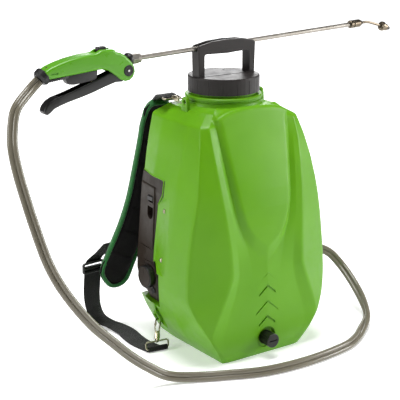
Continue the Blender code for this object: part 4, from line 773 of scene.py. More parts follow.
def recess_cutters():
    """The recess for the pump module, and the planes cut beside it on each flank."""
    top = MODULE_ROWS[-1][0] + GAP
    bottom = MODULE_ROWS[0][0] - GAP
    edge = [(row[1] - GAP, row[0]) for row in MODULE_ROWS]
    edge[0] = (edge[0][0], bottom)
    edge[-1] = (edge[-1][0], top)
    main = prism("recess", edge + [(0.16, top), (0.16, bottom)], "X", -FAR, FAR)
    parts = []
    for side in (-1, 1):
        # flange: a plane from the lip out past the fold
        outer = [Vector(b) + (Vector(b) - Vector(a)) * 0.25 for a, b in zip(FLANGE_LIP, FLANGE_FOLD)]
        points = [Vector(a) for a in FLANGE_LIP] + outer
        points += [Vector((FAR, p.y, p.z)) for p in outer]
        points += [Vector((x, 0.10, z)) for x in (FLANGE_LIP[0][0], FAR) for z in (0.2619, 0.1580)]
        # the flange cutter carries the darker green, painted shade for the flange faces it cuts
        parts.append(hull("flange", [(side * p.x, p.y, p.z) for p in points], "flange_painted_shade"))
        # the tank's wall is cut back beside the module's upper and lower ends
        for low, high, lip, fold, turn_z, turn_y in ((0.2825, top, -0.0036, -0.0150, 0.2619, 0.0177),
                                                    (bottom, 0.1440, 0.0219, -0.0150, 0.1580, 0.0240)):
            outline = ((0.1190, lip + 0.004), (0.1205, lip), (0.1490, fold), (FAR, fold), (FAR, 0.05),
                       (0.1190, 0.05))
            points = [(x, y, z) for z in (low, high) for x, y in outline]
            points += [(x, turn_y, turn_z) for x in (0.1238, FAR)]
            parts.append(hull("flank", [(side * x, y, z) for x, y, z in points]))
        parts.append(prism("beside", [(0.0226, bottom), (0.0240, 0.1580), (0.0177, 0.2619), (-0.0030, 0.2825),
                                      (-0.0030, top), (0.14, top), (0.14, bottom)], "X",
                           *sorted((side * 0.1276, side * FAR))))
    return [main] + parts


def chevron_cutter(apex, reach, floor, width):
    drop = reach * CHEVRON_DROP
    outline = [(0, apex), (reach, apex - drop), (reach, apex - drop - width), (0, apex - width * 1.3),
               (-reach, apex - drop - width), (-reach, apex - drop)]
    return prism("chevron", outline, "Y", -0.16, floor)


def surface_path(obj, route, side, lift=0.0):
    """Points on the outside of an object at the given (y, z) places, found from the side."""
    found = []
    for y, z in route:
        hit, place, normal, _ = obj.ray_cast(Vector((side * 0.4, y, z)), Vector((-side, 0, 0)))
        if hit:
            found.append(place + normal * lift)
    return found


# the raised rim along the top of the module's recess: y and z
RIM = [(0.089, 0.3096), (0.060, 0.3096), (0.030, 0.3096), (0.006, 0.3096), (-0.0025, 0.3075),
       (-0.0035, 0.3000), (-0.0035, 0.2840), (0.0020, 0.2740), (0.0060, 0.2660)]
EYELET_R = 0.0078
# the upper hook hangs in the hole of a lug beside the neck; the lug's outline in y and z
HOOK_X = 0.0800
LUG_HOLE_Z = 0.4405
LUG_OUTLINE = [(-0.0100, 0.4150), (0.0115, 0.4150), (0.0092, 0.4300), (0.0080, 0.4425), (0.0060, 0.4475),
               (0.0020, 0.4495), (-0.0030, 0.4490), (-0.0065, 0.4460), (-0.0080, 0.4400), (-0.0088, 0.4280)]


def dress_tank(tank):
    """Cuts the recess, chevrons, drain seat and pockets, and adds rims, eyelets and strap lugs."""
    rims = []
    path = even(catmull([(y, z, 0) for y, z in RIM], 6), 0.004)
    for side in (-1, 1):
        rims.append((side, surface_path(tank, [(p.x, p.y) for p in path], side, 0.0002)))
    cut_all(tank, recess_cutters())
    cutters = [chevron_cutter(apex, reach, floor, 0.0026 + 0.0010 * (number % 2))
               for number, (apex, reach, floor) in enumerate(CHEVRONS)]
    cutters.append(lathe("drain_recess", [(0, -0.170), (0.0225, -0.170), (0.0225, -0.1330), (0.0192, -0.1300),
                                          (0.0192, -0.1235), (0, -0.1235)], (0, 0, DRAIN_Z), (0, 1, 0),
                         "tank_green", 96, False))
    for side in (-1, 1):
        cutters.append(hull("pocket", [mirrored(p, side) for p in EYELET_POCKET]))
    cut_all(tank, [joined("cutters", cutters)])
    shade(tank, True, 28)
    extra = []
    for side, path in rims:
        extra.append(swept("rim", path, circle(0.0011, 8), "tank_green", up=(0, 1, 0)))
    for side in (-1, 1):
        center = mirrored(EYELET, side)
        loop = [center + Vector((side * 0.45 * EYELET_R * math.sin(a), EYELET_R * math.cos(a),
                                 EYELET_R * math.sin(a))) for a in (math.tau * k / 28 for k in range(28))]
        extra.append(swept("loop", loop, circle(0.0022, 12), "tank_green", (1, 0, 0), True))
        extra.append(rod("anchor", center + Vector((side * -0.012, 0, 0.0085)),
                         center + Vector((side * 0.0045, 0, 0.0105)), 0.0028, "tank_green", 16))
        middle = side * HOOK_X
        lug = prism("lug", LUG_OUTLINE, "X", middle - 0.0030, middle + 0.0030)
        cut_all(lug, [rod("hole", (middle - 0.01, 0, LUG_HOLE_Z), (middle + 0.01, 0, LUG_HOLE_Z), 0.0038,
                          "tank_green")])
        bevelled(lug, 0.0011, 2, 40)
        extra.append(lug)
    return joined("tank_shell", [tank] + extra)


SCREW_PROFILE = [(0, -0.0040), (0.0016, -0.0036), (0.0016, 0.0), (0.0042, 0.0), (0.0042, 0.0006),
                 (0.0036, 0.0008), (0.0035, 0.0014), (0.0024, 0.0025), (0, 0.0028)]
SLOT_HALF = 0.0023
SLOT_WIDE = 0.0009


def flange_screws(tank):
    """Pan heads with a cross, set square on the flange."""
    for side, label in ((-1, "left"), (1, "right")):
        for (y, z), place in zip(FLANGE_SCREWS, ("upper", "lower")):
            _, at, normal, _ = tank.ray_cast(Vector((side * 0.4, y, z)), Vector((-side, 0, 0)))
            name = f"flange_screw_{place}_{label}"
            head = lathe(f"head_{name}", SCREW_PROFILE, at - normal * 0.0001, normal, "zinc", 40, False)
            up = (Vector((0, 0, 1)) - normal * normal.z).normalized()
            across = normal.cross(up)
            slots = []
            for a, b in ((up, across), (across, up)):
                corners = [at + a * i * SLOT_HALF + b * j * SLOT_WIDE / 2 + normal * k
                           for i in (-1, 1) for j in (-1, 1) for k in (0.0012, 0.0050)]
                slots.append(hull("slot", corners, "zinc"))
            cut_all(head, slots)
            shade(head, True, 30)
            finish_piece(head, "tank_unit", [name])


tank = dress_tank(make_tank())
flange_screws(tank)
finish_piece(tank, "tank_unit", ["tank"])

# ---------------------------------------------------------------- hose

LANCE_Z = 0.5315
LANCE_TILT = math.radians(2.1)
# the hose nut hangs from the gun's end at a slant below the lance's line
HOSE_NUT_START = Vector((-0.3475, 0, -0.002))
HOSE_NUT_LENGTH = 0.0139
HOSE_NUT_SLANT = math.radians(38)
HOSE_ROUTE = [
    (0.1520, 0.0520, 0.1180), (0.1750, 0.0520, 0.1180), (0.2100, 0.0500, 0.1150), (0.2450, 0.0420, 0.1080),
    (0.2740, 0.0250, 0.0960), (0.2860, 0.0000, 0.0740), (0.2830, -0.0400, 0.0500), (0.2690, -0.0840, 0.0290),
    (0.2460, -0.1210, 0.0160), (0.2050, -0.1530, 0.0090), (0.1650, -0.1800, 0.0088),
    (0.1200, -0.1970, 0.0088), (0.0320, -0.2060, 0.0088), (-0.0520, -0.1980, 0.0088),
    (-0.1180, -0.1720, 0.0088), (-0.1580, -0.1530, 0.0090), (-0.2050, -0.1330, 0.0150),
    (-0.2420, -0.1270, 0.0380),
    (-0.2740, -0.1210, 0.0640), (-0.3040, -0.1180, 0.0940), (-0.3340, -0.1130, 0.1250),
    (-0.3600, -0.1050, 0.1600), (-0.3840, -0.0950, 0.2010), (-0.3990, -0.0820, 0.2420),
    (-0.4100, -0.0660, 0.2960), (-0.4150, -0.0550, 0.3290), (-0.4220, -0.0430, 0.3750),
    (-0.4240, -0.0330, 0.4120), (-0.4180, -0.0220, 0.4400), (-0.4060, -0.0130, 0.4700),
]
# where the two pieces meet, and where the flat hose turns its narrow side to the front
HOSE_SPLIT = Vector((-0.1820, -0.1430, 0.0110))
EDGE_ON = Vector((0.25, -0.12, 0.016))
HOSE_TUBE_R = 0.0046
HOSE_PITCH = 0.0040
HOSE_STEP = 0.0060
# roll of the hose about its own line, and the distance over which it fades
EDGE_ROLL, EDGE_FADE = math.radians(70), 0.055
START_ROLL, START_FADE = math.radians(40), 0.06


def twin_ring():
    """Cross-section of the hose: two round bores side by side in one skin."""
    start = math.acos(HOSE_PITCH / HOSE_TUBE_R)
    ring = []
    for middle, first, last in ((HOSE_PITCH, -math.pi + start, math.pi - start),
                                (-HOSE_PITCH, start, math.tau - start)):
        for k in range(14):
            angle = first + (last - first) * k / 14
            ring.append((middle + HOSE_TUBE_R * math.cos(angle), HOSE_TUBE_R * math.sin(angle)))
    return ring


def make_hose():
    """The whole hose along one route, as the run on the floor and the run up to the gun."""
    turn = Matrix.Rotation(-LANCE_TILT, 3, "Y")
    out = turn @ Vector((-math.cos(HOSE_NUT_SLANT), 0, -math.sin(HOSE_NUT_SLANT)))
    end = Vector((0, 0, LANCE_Z)) + turn @ HOSE_NUT_START + out * HOSE_NUT_LENGTH
    points = even(catmull(HOSE_ROUTE + [end + out * 0.0200, end], 8), HOSE_STEP)
    sight = Vector(CAMERA_PLACE) - Vector((0, 0, 0.2))
    ups = []
    for point, along in zip(points, tangents(points)):
        roll = EDGE_ROLL * math.exp(-((point - EDGE_ON).length / EDGE_FADE) ** 2)
        roll += START_ROLL * math.exp(-((point - points[0]).length / START_FADE) ** 2)
        ups.append(Matrix.Rotation(roll, 3, along) @ sight)
    split = min(range(len(points)), key=lambda i: (points[i] - HOSE_SPLIT).length)
    pieces = []
    for name, first, last in (("hose_ground", 0, split + 1), ("hose_rise", split, len(points))):
        run = points[first:last]
        piece = swept(name, run, twin_ring(), "hose", ups=ups[first:last], sharp=60)
        pieces.append((piece, run, run_lengths(run)[-1]))
    return pieces


(hose_a, run_a, length_a), (hose_b, run_b, length_b) = make_hose()
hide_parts("hose")
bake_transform(hose_a)
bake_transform(hose_b)

# ---------------------------------------------------------------- gun

# outlines in the lance's own frame: along the lance, height
GUN_OUTLINE = [
    (-0.3535, 0.0035), (-0.3542, -0.0030), (-0.3530, -0.0088), (-0.3490, -0.0100), (-0.3075, -0.0088),
    (-0.2825, -0.0078), (-0.2617, -0.0070), (-0.2500, -0.0072), (-0.2410, -0.0096), (-0.2330, -0.0146),
    (-0.2250, -0.0212), (-0.2170, -0.0280), (-0.2080, -0.0325), (-0.1990, -0.0318), (-0.1925, -0.0270),
    (-0.1885, -0.0190), (-0.1892, -0.0110), (-0.1930, -0.0040), (-0.1995, 0.0035), (-0.2068, 0.0105),
    (-0.2140, 0.0150), (-0.2218, 0.0172), (-0.2250, 0.0212), (-0.2285, 0.0230), (-0.2500, 0.0240),
    (-0.2545, 0.0222), (-0.2590, 0.0200), (-0.2700, 0.0198), (-0.2855, 0.0192), (-0.3084, 0.0165),
    (-0.3265, 0.0130), (-0.3424, 0.0085),
]
LEVER_OUTLINE = [
    (-0.2355, -0.0150), (-0.2600, -0.0225), (-0.2880, -0.0300), (-0.3150, -0.0370), (-0.3370, -0.0415),
    (-0.3470, -0.0460), (-0.3545, -0.0530), (-0.3575, -0.0600), (-0.3560, -0.0650), (-0.3515, -0.0665),
    (-0.3460, -0.0635), (-0.3390, -0.0585), (-0.3280, -0.0550), (-0.3130, -0.0515), (-0.2923, -0.0478),
    (-0.2690, -0.0430), (-0.2453, -0.0368), (-0.2250, -0.0322), (-0.2120, -0.0330), (-0.1990, -0.0247),
    (-0.1945, -0.0215), (-0.1925, -0.0170), (-0.1935, -0.0112), (-0.2000, -0.0106), (-0.2090, -0.0106),
    (-0.2200, -0.0110),
]
VALVE_OUTLINE = [(-0.3172, -0.0080), (-0.3120, -0.0215), (-0.3090, -0.0240), (-0.3000, -0.0256),
                 (-0.2625, -0.0240), (-0.2580, -0.0215), (-0.2555, -0.0080)]
GUN_HALF = 0.0138
PIVOT = (-0.2020, -0.0155)
STEM_X = -0.2640


def in_lance_frame(obj):
    """Moves a piece from the lance's own frame to its place on the handle."""
    obj.data.transform(Matrix.Translation((0, 0, LANCE_Z)) @ Matrix.Rotation(-LANCE_TILT, 4, "Y"))
    obj.data.update()
    return obj


def crossways(name, place, radius, low, high, material="gun_green"):
    """A rod across the gun at a place in its outline."""
    return rod(name, (place[0], low, place[1]), (place[0], high, place[1]), radius, material)


def make_gun():
    """The spray gun: shell, ferrule, pivot, valve block, underside, lever and stem."""
    gun = prism("gun_shell", GUN_OUTLINE, "Y", -GUN_HALF, GUN_HALF, "gun_green")
    bevelled(gun, 0.0062, 6, 50)
    cutters = [block("lever_slot", (-0.2470, -0.0104, -0.0500), (-0.1860, 0.0104, -0.0030), "gun_green"),
               block("lock_slot", (-0.2570, -0.0056, 0.0100), (-0.2230, 0.0056, 0.0400), "gun_green"),
               block("side_mark", (-0.3440, -0.02, -0.0030), (-0.3310, -GUN_HALF + 0.0016, -0.0006)),
               rod("seat", (-0.2090, 0, 0), (-0.1500, 0, 0), 0.0098, "gun_green"),
               rod("wide_seat", (-0.1974, 0, 0), (-0.1500, 0, 0), 0.0112, "gun_green")]
    for side in (-1, 1):
        reach = sorted((side * (GUN_HALF - 0.0010), side * 0.03))
        cutters.append(crossways("pin_seat", PIVOT, 0.0094, *reach))
    cut_all(gun, cutters)
    shade(gun, True, 30)
    finish_piece(in_lance_frame(gun), "lance_unit", ["gun_body"])

    ferrule = lathe("gun_ferrule_ribbed", [
        (0.0046, -0.2086), (0.0088, -0.2086), (0.0094, -0.2070), (0.0094, -0.2012), (0.0076, -0.1998),
        (0.0076, -0.1984), (0.0102, -0.1968), (0.0108, -0.1958), (0.0108, -0.1914), (0.0101, -0.1895),
        (0.0046, -0.1892)], (0, 0, 0), (1, 0, 0), "black_plastic")
    finish_piece(in_lance_frame(ferrule), "lance_unit", ["gun_ferrule"])

    head = [(0, -0.0014), (0.0088, -0.0014), (0.0089, 0.0004), (0.0084, 0.0009), (0.0066, 0.0010),
            (0.0062, 0.0004), (0.0040, 0.0004), (0.0036, 0.0009), (0, 0.0010)]
    pin = [crossways("shank", PIVOT, 0.0030, -GUN_HALF, GUN_HALF, "black_plastic")]
    for side in (-1, 1):
        place = (PIVOT[0], side * GUN_HALF, PIVOT[1])
        pin.append(lathe("head", head, place, (0, side, 0), "black_plastic", 64, False))
    finish_piece(in_lance_frame(joined("pivot_pin", pin)), "lance_unit", ["trigger_pin"])
    dot = lathe("pivot_dot", [(0, 0.0008), (0.0019, 0.0008), (0.0018, 0.0013), (0.0010, 0.0017), (0, 0.0018)],
                (PIVOT[0], -GUN_HALF, PIVOT[1]), (0, -1, 0), "white_plastic", 32, False)
    finish_piece(in_lance_frame(dot), "lance_unit", ["pin_button"])

    valve = prism("valve_block_shell", VALVE_OUTLINE, "Y", -0.0068, 0.0068, "black_plastic")
    bevelled(valve, 0.0012, 3, 40)
    cut_all(valve, [rod("bore", (STEM_X, 0, -0.0300), (STEM_X, 0, -0.0124), 0.0026, "black_plastic")])
    finish_piece(in_lance_frame(valve), "lance_unit", ["valve_block"])
    outline = [(-0.3500, -0.0094), (-0.3120, -0.0086), (-0.3120, -0.0128), (-0.3480, -0.0148),
               (-0.3505, -0.0130)]
    ribs = prism("gun_underside", outline, "Y", -0.0120, 0.0120, "black_plastic")
    bevelled(ribs, 0.0010, 2, 40)
    cut_all(ribs, [crossways("rib", (-0.3470 + 0.0042 * k, -0.0152 + 0.00024 * k), 0.0014, -0.02, 0.02,
                             "black_plastic") for k in range(9)])
    finish_piece(in_lance_frame(ribs), "lance_unit", ["gun_base"])

    lever = prism("lever_shell", LEVER_OUTLINE, "Y", -0.0098, 0.0098, "black_plastic")
    bevelled(lever, 0.0026, 4, 50)
    channel = [(-0.1800, 0.0100), (-0.3300, 0.0100), (-0.3300, -0.0440), (-0.3200, -0.0490),
               (-0.2920, -0.0430), (-0.2640, -0.0385), (-0.2360, -0.0310), (-0.2200, -0.0280),
               (-0.1800, -0.0280)]
    cut_all(lever, [prism("channel", channel, "Y", -0.0073, 0.0073, "black_plastic"),
                    crossways("bore", PIVOT, 0.0034, -0.03, 0.03, "black_plastic")])
    shade(lever, True, 30)
    finish_piece(in_lance_frame(lever), "lever", ["trigger_lever"])
    stem = rod("stem_rod", (STEM_X, 0, -0.0372), (STEM_X, 0, -0.0228), 0.0021, "brass", 24, 0.0006)
    finish_piece(in_lance_frame(stem), "stem", ["valve_stem"])


make_gun()

# ---------------------------------------------------------------- straps

# routes for the left side, from the top down; a webbing's second vector is the way its width lies
PAD_ROUTE = [
    (-0.0670, 0.0990, 0.4230), (-0.0660, 0.1110, 0.4130), (-0.0645, 0.1180, 0.3930),
    (-0.0660, 0.1215, 0.3600), (-0.0775, 0.1250, 0.3000), (-0.0910, 0.1280, 0.2400),
    (-0.1080, 0.1310, 0.1900), (-0.1300, 0.1320, 0.1450), (-0.1510, 0.1300, 0.1060),
    (-0.1620, 0.1290, 0.0880),
]
PAD_LENGTH = 0.37
PAD_HALF = 0.0300
PAD_T = 0.0070
# the puffed pad reaches a little past its outline, under the binding
PAD_SPARE = 0.0044
PAD_END_SPARE = 0.0035
BINDING_IN = 0.0016
PAD_CHANNELS = (0.10, 0.22, 0.34, 0.46, 0.58, 0.70, 0.82, 0.91)
CHANNEL_HALF = 0.0032
CHANNEL_DEPTH = 0.22
PAD_PRESSURE = 4.0
PAD_CAP = 0.005
VOXEL = 0.005
CLOTH_FRAMES = 20
ROUTE_STEP = 0.005
LOWER_WEB_ROUTE = [
    ((-0.1870, 0.1458, 0.1265), (0.995, 0.10, 0.0)), ((-0.1873, 0.1452, 0.1125), (0.995, 0.10, 0.0)),
    ((-0.1890, 0.1455, 0.0880), (0.995, 0.10, 0.0)),
    ((-0.1880, 0.1480, 0.0640), (0.985, 0.17, 0.0)), ((-0.1825, 0.1505, 0.0400), (0.950, 0.31, 0.0)),
    ((-0.1705, 0.1500, 0.0190), (0.860, 0.50, 0.0)), ((-0.1570, 0.1400, 0.0075), (0.760, 0.65, 0.0)),
    ((-0.1480, 0.1230, 0.0035), (0.850, 0.50, 0.0)), ((-0.1460, 0.0980, 0.0022), (0.990, 0.10, 0.0)),
    ((-0.1500, 0.0700, 0.0018), (0.990, -0.10, 0.0)), ((-0.1520, 0.0430, 0.0016), (1.000, 0.00, 0.0)),
    ((-0.1490, 0.0180, 0.0016), (0.989, -0.120, 0.0)), ((-0.1462, 0.0020, 0.0016), (0.989, -0.151, 0.0)),
]
TOP_WEB_ROUTE = [
    ((-0.0790, 0.0475, 0.4400), (1, 0, 0)), ((-0.0775, 0.0600, 0.4425), (1, 0, 0)),
    ((-0.0730, 0.0780, 0.4400), (1, 0, 0)), ((-0.0685, 0.0935, 0.4325), (1, 0, 0)),
    ((-0.0670, 0.1030, 0.4255), (1, 0, 0)),
]
BUCKLE = Vector((-0.1870, 0.1430, 0.1240))
BUCKLE_ALONG = Vector((0.9945, 0.1045, 0.0))
# height of the buckle's two bars from its middle
BUCKLE_BAR = Vector((0, 0, 0.0064))
RING_BAR = Vector((-0.1450, -0.0045, 0.0056))
RING_ALONG = Vector((0.989, -0.151, 0.0)).normalized()
RING_UP = Vector((0.10, 0.36, 0.93)).normalized()
RING_HALF = 0.0215
RING_HEIGHT = 0.0125
WEBBING_HALF = 0.0185
WEBBING_T = 0.0016
TOP_WEB_HALF = 0.0150
TOP_WEB_T = 0.0030
WRAP_HALF = 0.0178
TAB_HALF = 0.0170


def band(name, stations, thickness):
    """A flat woven band through stations of (middle, half-width vector, face direction), with woven edges."""
    shape = [(-1, 0.15), (-0.97, 0.5), (-0.9, 0.42), (-0.45, 0.5), (0, 0.46), (0.45, 0.5), (0.9, 0.42),
             (0.97, 0.5), (1, 0.15)]
    ring = shape + [(a, -b) for a, b in reversed(shape)]
    verts, flat = [], []
    for (middle, half, face), run in zip(stations, run_lengths([station[0] for station in stations])):
        face = face.normalized() * thickness
        for a, b in ring:
            verts.append(middle + half * a + face * b)
            flat.append((a * half.length + (0.1 if b < 0 else 0.0), run))
    obj = mesh_object(name, verts, tube_faces(len(stations), len(ring)), "webbing", True, 50)
    layer = obj.data.uv_layers.new(name="UVMap")
    for loop in obj.data.loops:
        layer.data[loop.index].uv = flat[loop.vertex_index]
    return obj


def web_stations(route, half, steps):
    """Stations for a band along a route of (place, width direction)."""
    points = catmull([place for place, _ in route], steps)
    hints = catmull([hint for _, hint in route], steps)
    out = []
    for point, along, hint in zip(points, tangents(points), hints):
        wide = square_to(hint, along)
        out.append((point, wide * half, along.cross(wide)))
    return out


def pad_outline(route):
    """Half width along the pad: narrow at the top, round at the bottom."""
    lengths = run_lengths(route)
    widths = []
    for s in lengths:
        top = 0.52 + 0.48 * min(1.0, s / 0.055) ** 0.8
        left = lengths[-1] - s
        round_end = 1.0 if left > PAD_HALF else math.sqrt(max(0.0, 1 - ((PAD_HALF - left) / PAD_HALF) ** 2))
        widths.append(PAD_HALF * min(top, max(0.05, round_end)))
    return widths


def simulated(obj):
    """Puffs a closed form out as cloth, with a limit on how far a point moves."""
    mod = obj.modifiers.new("remesh", "REMESH")
    mod.mode = "VOXEL"
    mod.voxel_size = VOXEL
    apply_modifiers(obj)
    start = [v.co.copy() for v in obj.data.vertices]
    scene = bpy.context.scene
    cloth = obj.modifiers.new("cloth", "CLOTH")
    cloth.settings.use_pressure = True
    cloth.settings.uniform_pressure_force = PAD_PRESSURE
    cloth.settings.quality = 5
    cloth.settings.effector_weights.gravity = 0.0
    cloth.point_cache.frame_start = 1
    cloth.point_cache.frame_end = CLOTH_FRAMES
    for number in range(1, CLOTH_FRAMES + 1):
        scene.frame_set(number)
    apply_modifiers(obj)
    scene.frame_set(1)
    for vertex, first in zip(obj.data.vertices, start):
        move = vertex.co - first
        if move.length > PAD_CAP:
            vertex.co = first + move.normalized() * PAD_CAP
    mod = obj.modifiers.new("smooth", "SUBSURF")
    mod.levels = 1
    mod.render_levels = 1
    apply_modifiers(obj)
    shade(obj, True, 0)


def make_pad(side, label):
    """A padded strap: the simulated pad with its stitched channels, and the binding round it."""
    route = even(catmull([mirrored(p, side) for p in PAD_ROUTE], 6), ROUTE_STEP)
    widths = pad_outline(route)
    wide = Vector((1, 0, 0))
    shape = [(-1.0, 0.0), (-0.96, 0.30), (-0.8, 0.44), (-0.4, 0.5), (0, 0.5), (0.4, 0.5), (0.8, 0.44),
             (0.96, 0.30), (1.0, 0.0)]
    shape += [(a, -b) for a, b in shape[-2:0:-1]]
    verts, facing, sideways = [], [], []
    for number, (point, along, half) in enumerate(zip(route, tangents(route), widths)):
        across = square_to(wide, along)
        out = along.cross(across)
        facing.append(out)
        sideways.append(across)
        end = along * PAD_END_SPARE * max(0.0, 1 - (len(route) - 1 - number) * ROUTE_STEP / PAD_HALF)
        for a, b in shape:
            verts.append(point + end + across * a * (half + PAD_SPARE) + out * b * PAD_T)
    faces = tube_faces(len(route), len(shape))
    pad = mesh_object(f"pad_{label}", verts, faces, ["pad_fabric", "pad_green"], True, 0)
    simulated(pad)

    def nearest(place):
        return min(range(len(route)), key=lambda i: (route[i] - place).length_squared)

    # stitched channels across, pressed in after the simulation
    for vertex in pad.data.vertices:
        near = nearest(vertex.co)
        groove = 0.0
        for at in PAD_CHANNELS:
            gap = (near / len(route) - at) * PAD_LENGTH
            groove += math.exp(-(gap / CHANNEL_HALF) ** 2)
        depth = facing[near].dot(vertex.co - route[near])
        vertex.co -= facing[near] * (depth * CHANNEL_DEPTH * min(1.0, groove))
    # green on the outer face and the edges, black on the face toward the tank
    outer = 1.0 if facing[len(facing) // 2].y > 0 else -1.0
    for polygon in pad.data.polygons:
        near = nearest(polygon.center)
        polygon.material_index = 1 if polygon.normal.dot(facing[near]) * outer > -0.35 else 0
    # binding tape round the edge
    left, right = [], []
    for point, across, half in zip(route, sideways, widths):
        left.append(point - across * (half - BINDING_IN))
        right.append(point + across * (half - BINDING_IN))
    loop = even(catmull((left + right[::-1] + left[:1])[::2], 2), 0.004)[:-1]
    tape = [(-0.0036, 0.0), (-0.00324, 0.0031), (-0.0018, 0.00558), (0.00072, 0.0062), (0.00288, 0.00465),
            (0.0036, 0.00155)]
    tape += [(a, -b) for a, b in tape[:0:-1]]
    ups = [facing[min(range(0, len(route), 2), key=lambda i: (route[i] - p).length_squared)] for p in loop]
    trim = swept(f"pad_binding_{label}", loop, tape, "pad_green", closed=True, ups=ups, sharp=0)
    finish_piece(pad, "tank_unit", [f"strap_pad_{label}"])
    finish_piece(trim, "tank_unit")


def wire(name, points, radius, steps=3):
    return swept(name, catmull(points, steps), circle(radius, 12), "zinc", up=(0.3, 0.2, 0.9), sharp=0)


def snap_hook(name, eye, bar, across):
    """A snap hook: a bent wire through the eye, a gate beside it, a shaped body and a collar at the bar."""
    eye, bar = Vector(eye), Vector(bar)
    down = (bar - eye).normalized()
    across = square_to(Vector(across), down)
    depth = down.cross(across)
    length = (bar - eye).length

    def at(a, d, e=0.0):
        return eye + across * a + down * d * length + depth * e

    bend = ((-0.0035, 0.16), (-0.0042, 0.04), (-0.0022, -0.06), (0.0010, -0.08), (0.0036, 0.02),
            (0.0038, 0.20), (0.0030, 0.42), (0.0022, 0.60))
    gate = ((-0.0045, 0.20), (-0.0048, 0.36), (-0.0036, 0.52), (-0.0016, 0.64))
    pieces = [wire(name, [at(*p) for p in bend], 0.0015, 5), wire("gate", [at(*p) for p in gate], 0.0011)]
    pieces.append(rod("gate_head", at(-0.0042, 0.13), at(-0.0047, 0.25), 0.0020, "zinc", 16, 0.0009))
    body = [(-0.0028, 0.50), (0.0032, 0.50), (0.0050, 0.66), (0.0046, 0.86), (0.0022, 0.93), (-0.0022, 0.93),
            (-0.0046, 0.86), (-0.0050, 0.66)]
    points = [at(a, d, e) for e in (-0.0018, 0.0018) for a, d in body]
    pieces.append(bevelled(mesh_object("body", points, slab_faces(len(body)), "zinc"), 0.0008, 2, 30))
    pieces.append(rod("collar", at(0, 0.88), at(0, 1.0), 0.0030, "zinc", 20, 0.0008))
    return joined(name, pieces)


def rounded_rectangle(middle, along, up, half, height, corner):
    """A closed loop: half its length along, half its height up."""
    points = []
    for sx, sy, start in ((1, 1, 0), (-1, 1, 90), (-1, -1, 180), (1, -1, 270)):
        for k in range(6):
            angle = math.radians(start + 90 * k / 5)
            points.append(middle + along * (sx * (half - corner) + corner * math.cos(angle))
                          + up * (sy * (height - corner) + corner * math.sin(angle)))
    return points


def make_buckle(name, middle, across, behind):
    """Ladder lock: a rounded frame, a middle bar and a thumb lip on top."""
    up = Vector((0, 0, 1))
    frame_ring = rounded_rectangle(middle, across, up, 0.0215, 0.0085, 0.0030)
    section = [(a * 0.0020, b * 0.0030) for a, b in circle(1.0, 12)]
    pieces = [swept("frame", frame_ring, section, "black_plastic", closed=True, up=tuple(behind), sharp=0)]
    pieces.append(rod("bar", middle - across * 0.0205, middle + across * 0.0205, 0.0021, "black_plastic", 20))
    lip = [middle + across * a + up * b + behind * c for a in (-0.0195, 0.0195)
           for b, c in ((0.0075, -0.0010), (0.0105, -0.0040), (0.0120, -0.0030), (0.0095, 0.0020))]
    pieces.append(bevelled(hull("lip", lip, "black_plastic"), 0.0006, 2, 30))
    finish_piece(joined(name, pieces), "tank_unit", [name.replace("buckle", "strap_buckle")])


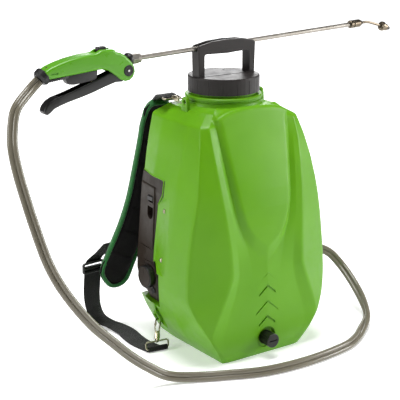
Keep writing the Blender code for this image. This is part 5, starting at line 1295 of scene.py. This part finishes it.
def make_straps(side, label):
    """One strap from the lug beside the neck down to the eyelet at the tank's foot."""
    make_pad(side, label)
    top = [(mirrored(p, side), Vector(h)) for p, h in TOP_WEB_ROUTE]
    upper = band(f"top_webbing_{label}", web_stations(top, TOP_WEB_HALF, 6), TOP_WEB_T)
    # loop round the hook's bar
    bar = mirrored((-0.0790, 0.0470, 0.4392), side)
    turn = []
    for step in range(13):
        angle = math.radians(-80 + 20 * step)
        out = Vector((0, -math.cos(angle), math.sin(angle)))
        turn.append((bar + out * 0.0032, Vector((TOP_WEB_HALF, 0, 0)), out))
    roll = band("roll", turn, WEBBING_T)
    finish_piece(joined(f"top_webbing_{label}", [upper, roll]), "tank_unit",
                 [f"strap_top_webbing_{label}"])
    hook = snap_hook(f"upper_hook_{label}", mirrored((-HOOK_X, 0.0005, 0.4405), side),
                     mirrored((-HOOK_X, 0.0405, 0.4420), side), (0, 0, 1))
    ring = swept("ring", rounded_rectangle(mirrored((-0.0795, 0.0440, 0.4405), side), Vector((1, 0, 0)),
                                           Vector((0, 1, 0.1)).normalized(), 0.0165, 0.0045, 0.0025),
                 circle(0.0015, 12), "zinc", closed=True, up=(0, 0, 1), sharp=0)
    finish_piece(joined(f"upper_hook_{label}", [hook, ring]), "tank_unit",
                 [f"strap_upper_hook_{label}"])

    lower = [(mirrored(p, side), Vector((h[0], h[1] * -side, h[2] * -side))) for p, h in LOWER_WEB_ROUTE]
    stations = web_stations(lower, WEBBING_HALF, 5)
    bar = mirrored(RING_BAR, side)
    along = mirrored(RING_ALONG, side) * -side
    ahead = Vector((along.y, -along.x, 0.0))
    for step in range(1, 25):
        angle = math.radians(-90 + 13 * step)
        out = ahead * math.cos(angle) + Vector((0, 0, 1)) * math.sin(angle)
        stations.append((bar + out * (0.0043 - 0.00001 * step), along * WEBBING_HALF, -out))
    # the top end wraps the buckle's lower bar, and a short tab runs from the upper bar to the pad
    buckle = mirrored(BUCKLE, side)
    across = mirrored(BUCKLE_ALONG, side) * -side
    behind = across.cross(Vector((0, 0, 1))) * -1
    low_bar = buckle - BUCKLE_BAR
    wrap = []
    for step in range(14):
        angle = math.radians(-150 + 20 * step)
        out = behind * math.cos(angle) + Vector((0, 0, 1)) * math.sin(angle)
        wrap.append((low_bar + out * 0.0036, across * WRAP_HALF, out))
    tab = [(buckle + BUCKLE_BAR + behind * 0.0034, across * WRAP_HALF, behind)]
    for inward, back, up in ((0.006, 0.0030, 0.0150), (0.020, -0.0010, 0.0260), (0.036, -0.0055, 0.0420)):
        tab.append((buckle + Vector((-side * inward, back, up)), across * TAB_HALF, behind))
    web = joined(f"lower_webbing_{label}", [band("web", stations, WEBBING_T), band("wrap", wrap, WEBBING_T),
                                           band("tab", tab, WEBBING_T)])
    make_buckle(f"buckle_{label}", buckle, across, behind)
    finish_piece(web, "tank_unit", [f"strap_lower_webbing_{label}"])
    middle = RING_BAR + RING_UP * RING_HEIGHT / 2
    corners = rounded_rectangle(middle, RING_ALONG, RING_UP, RING_HALF, RING_HEIGHT / 2, 0.0034)
    ring = swept(f"lower_ring_{label}", [mirrored(p, side) for p in corners], circle(0.0015, 12), "zinc",
                 closed=True, up=(0, 0.4, 0.9), sharp=0)
    finish_piece(ring, "tank_unit", [f"strap_ring_{label}"])
    eye = EYELET + Vector((0.0015, 0.0, -0.0085))
    bottom = RING_BAR + RING_UP * (RING_HEIGHT - 0.0015)
    hook = snap_hook(f"lower_hook_{label}", mirrored(eye, side), mirrored(bottom, side),
                     mirrored((1.0, -0.35, 0.0), side))
    finish_piece(hook, "tank_unit", [f"strap_lower_hook_{label}"])


make_straps(-1, "left")
make_straps(1, "right")
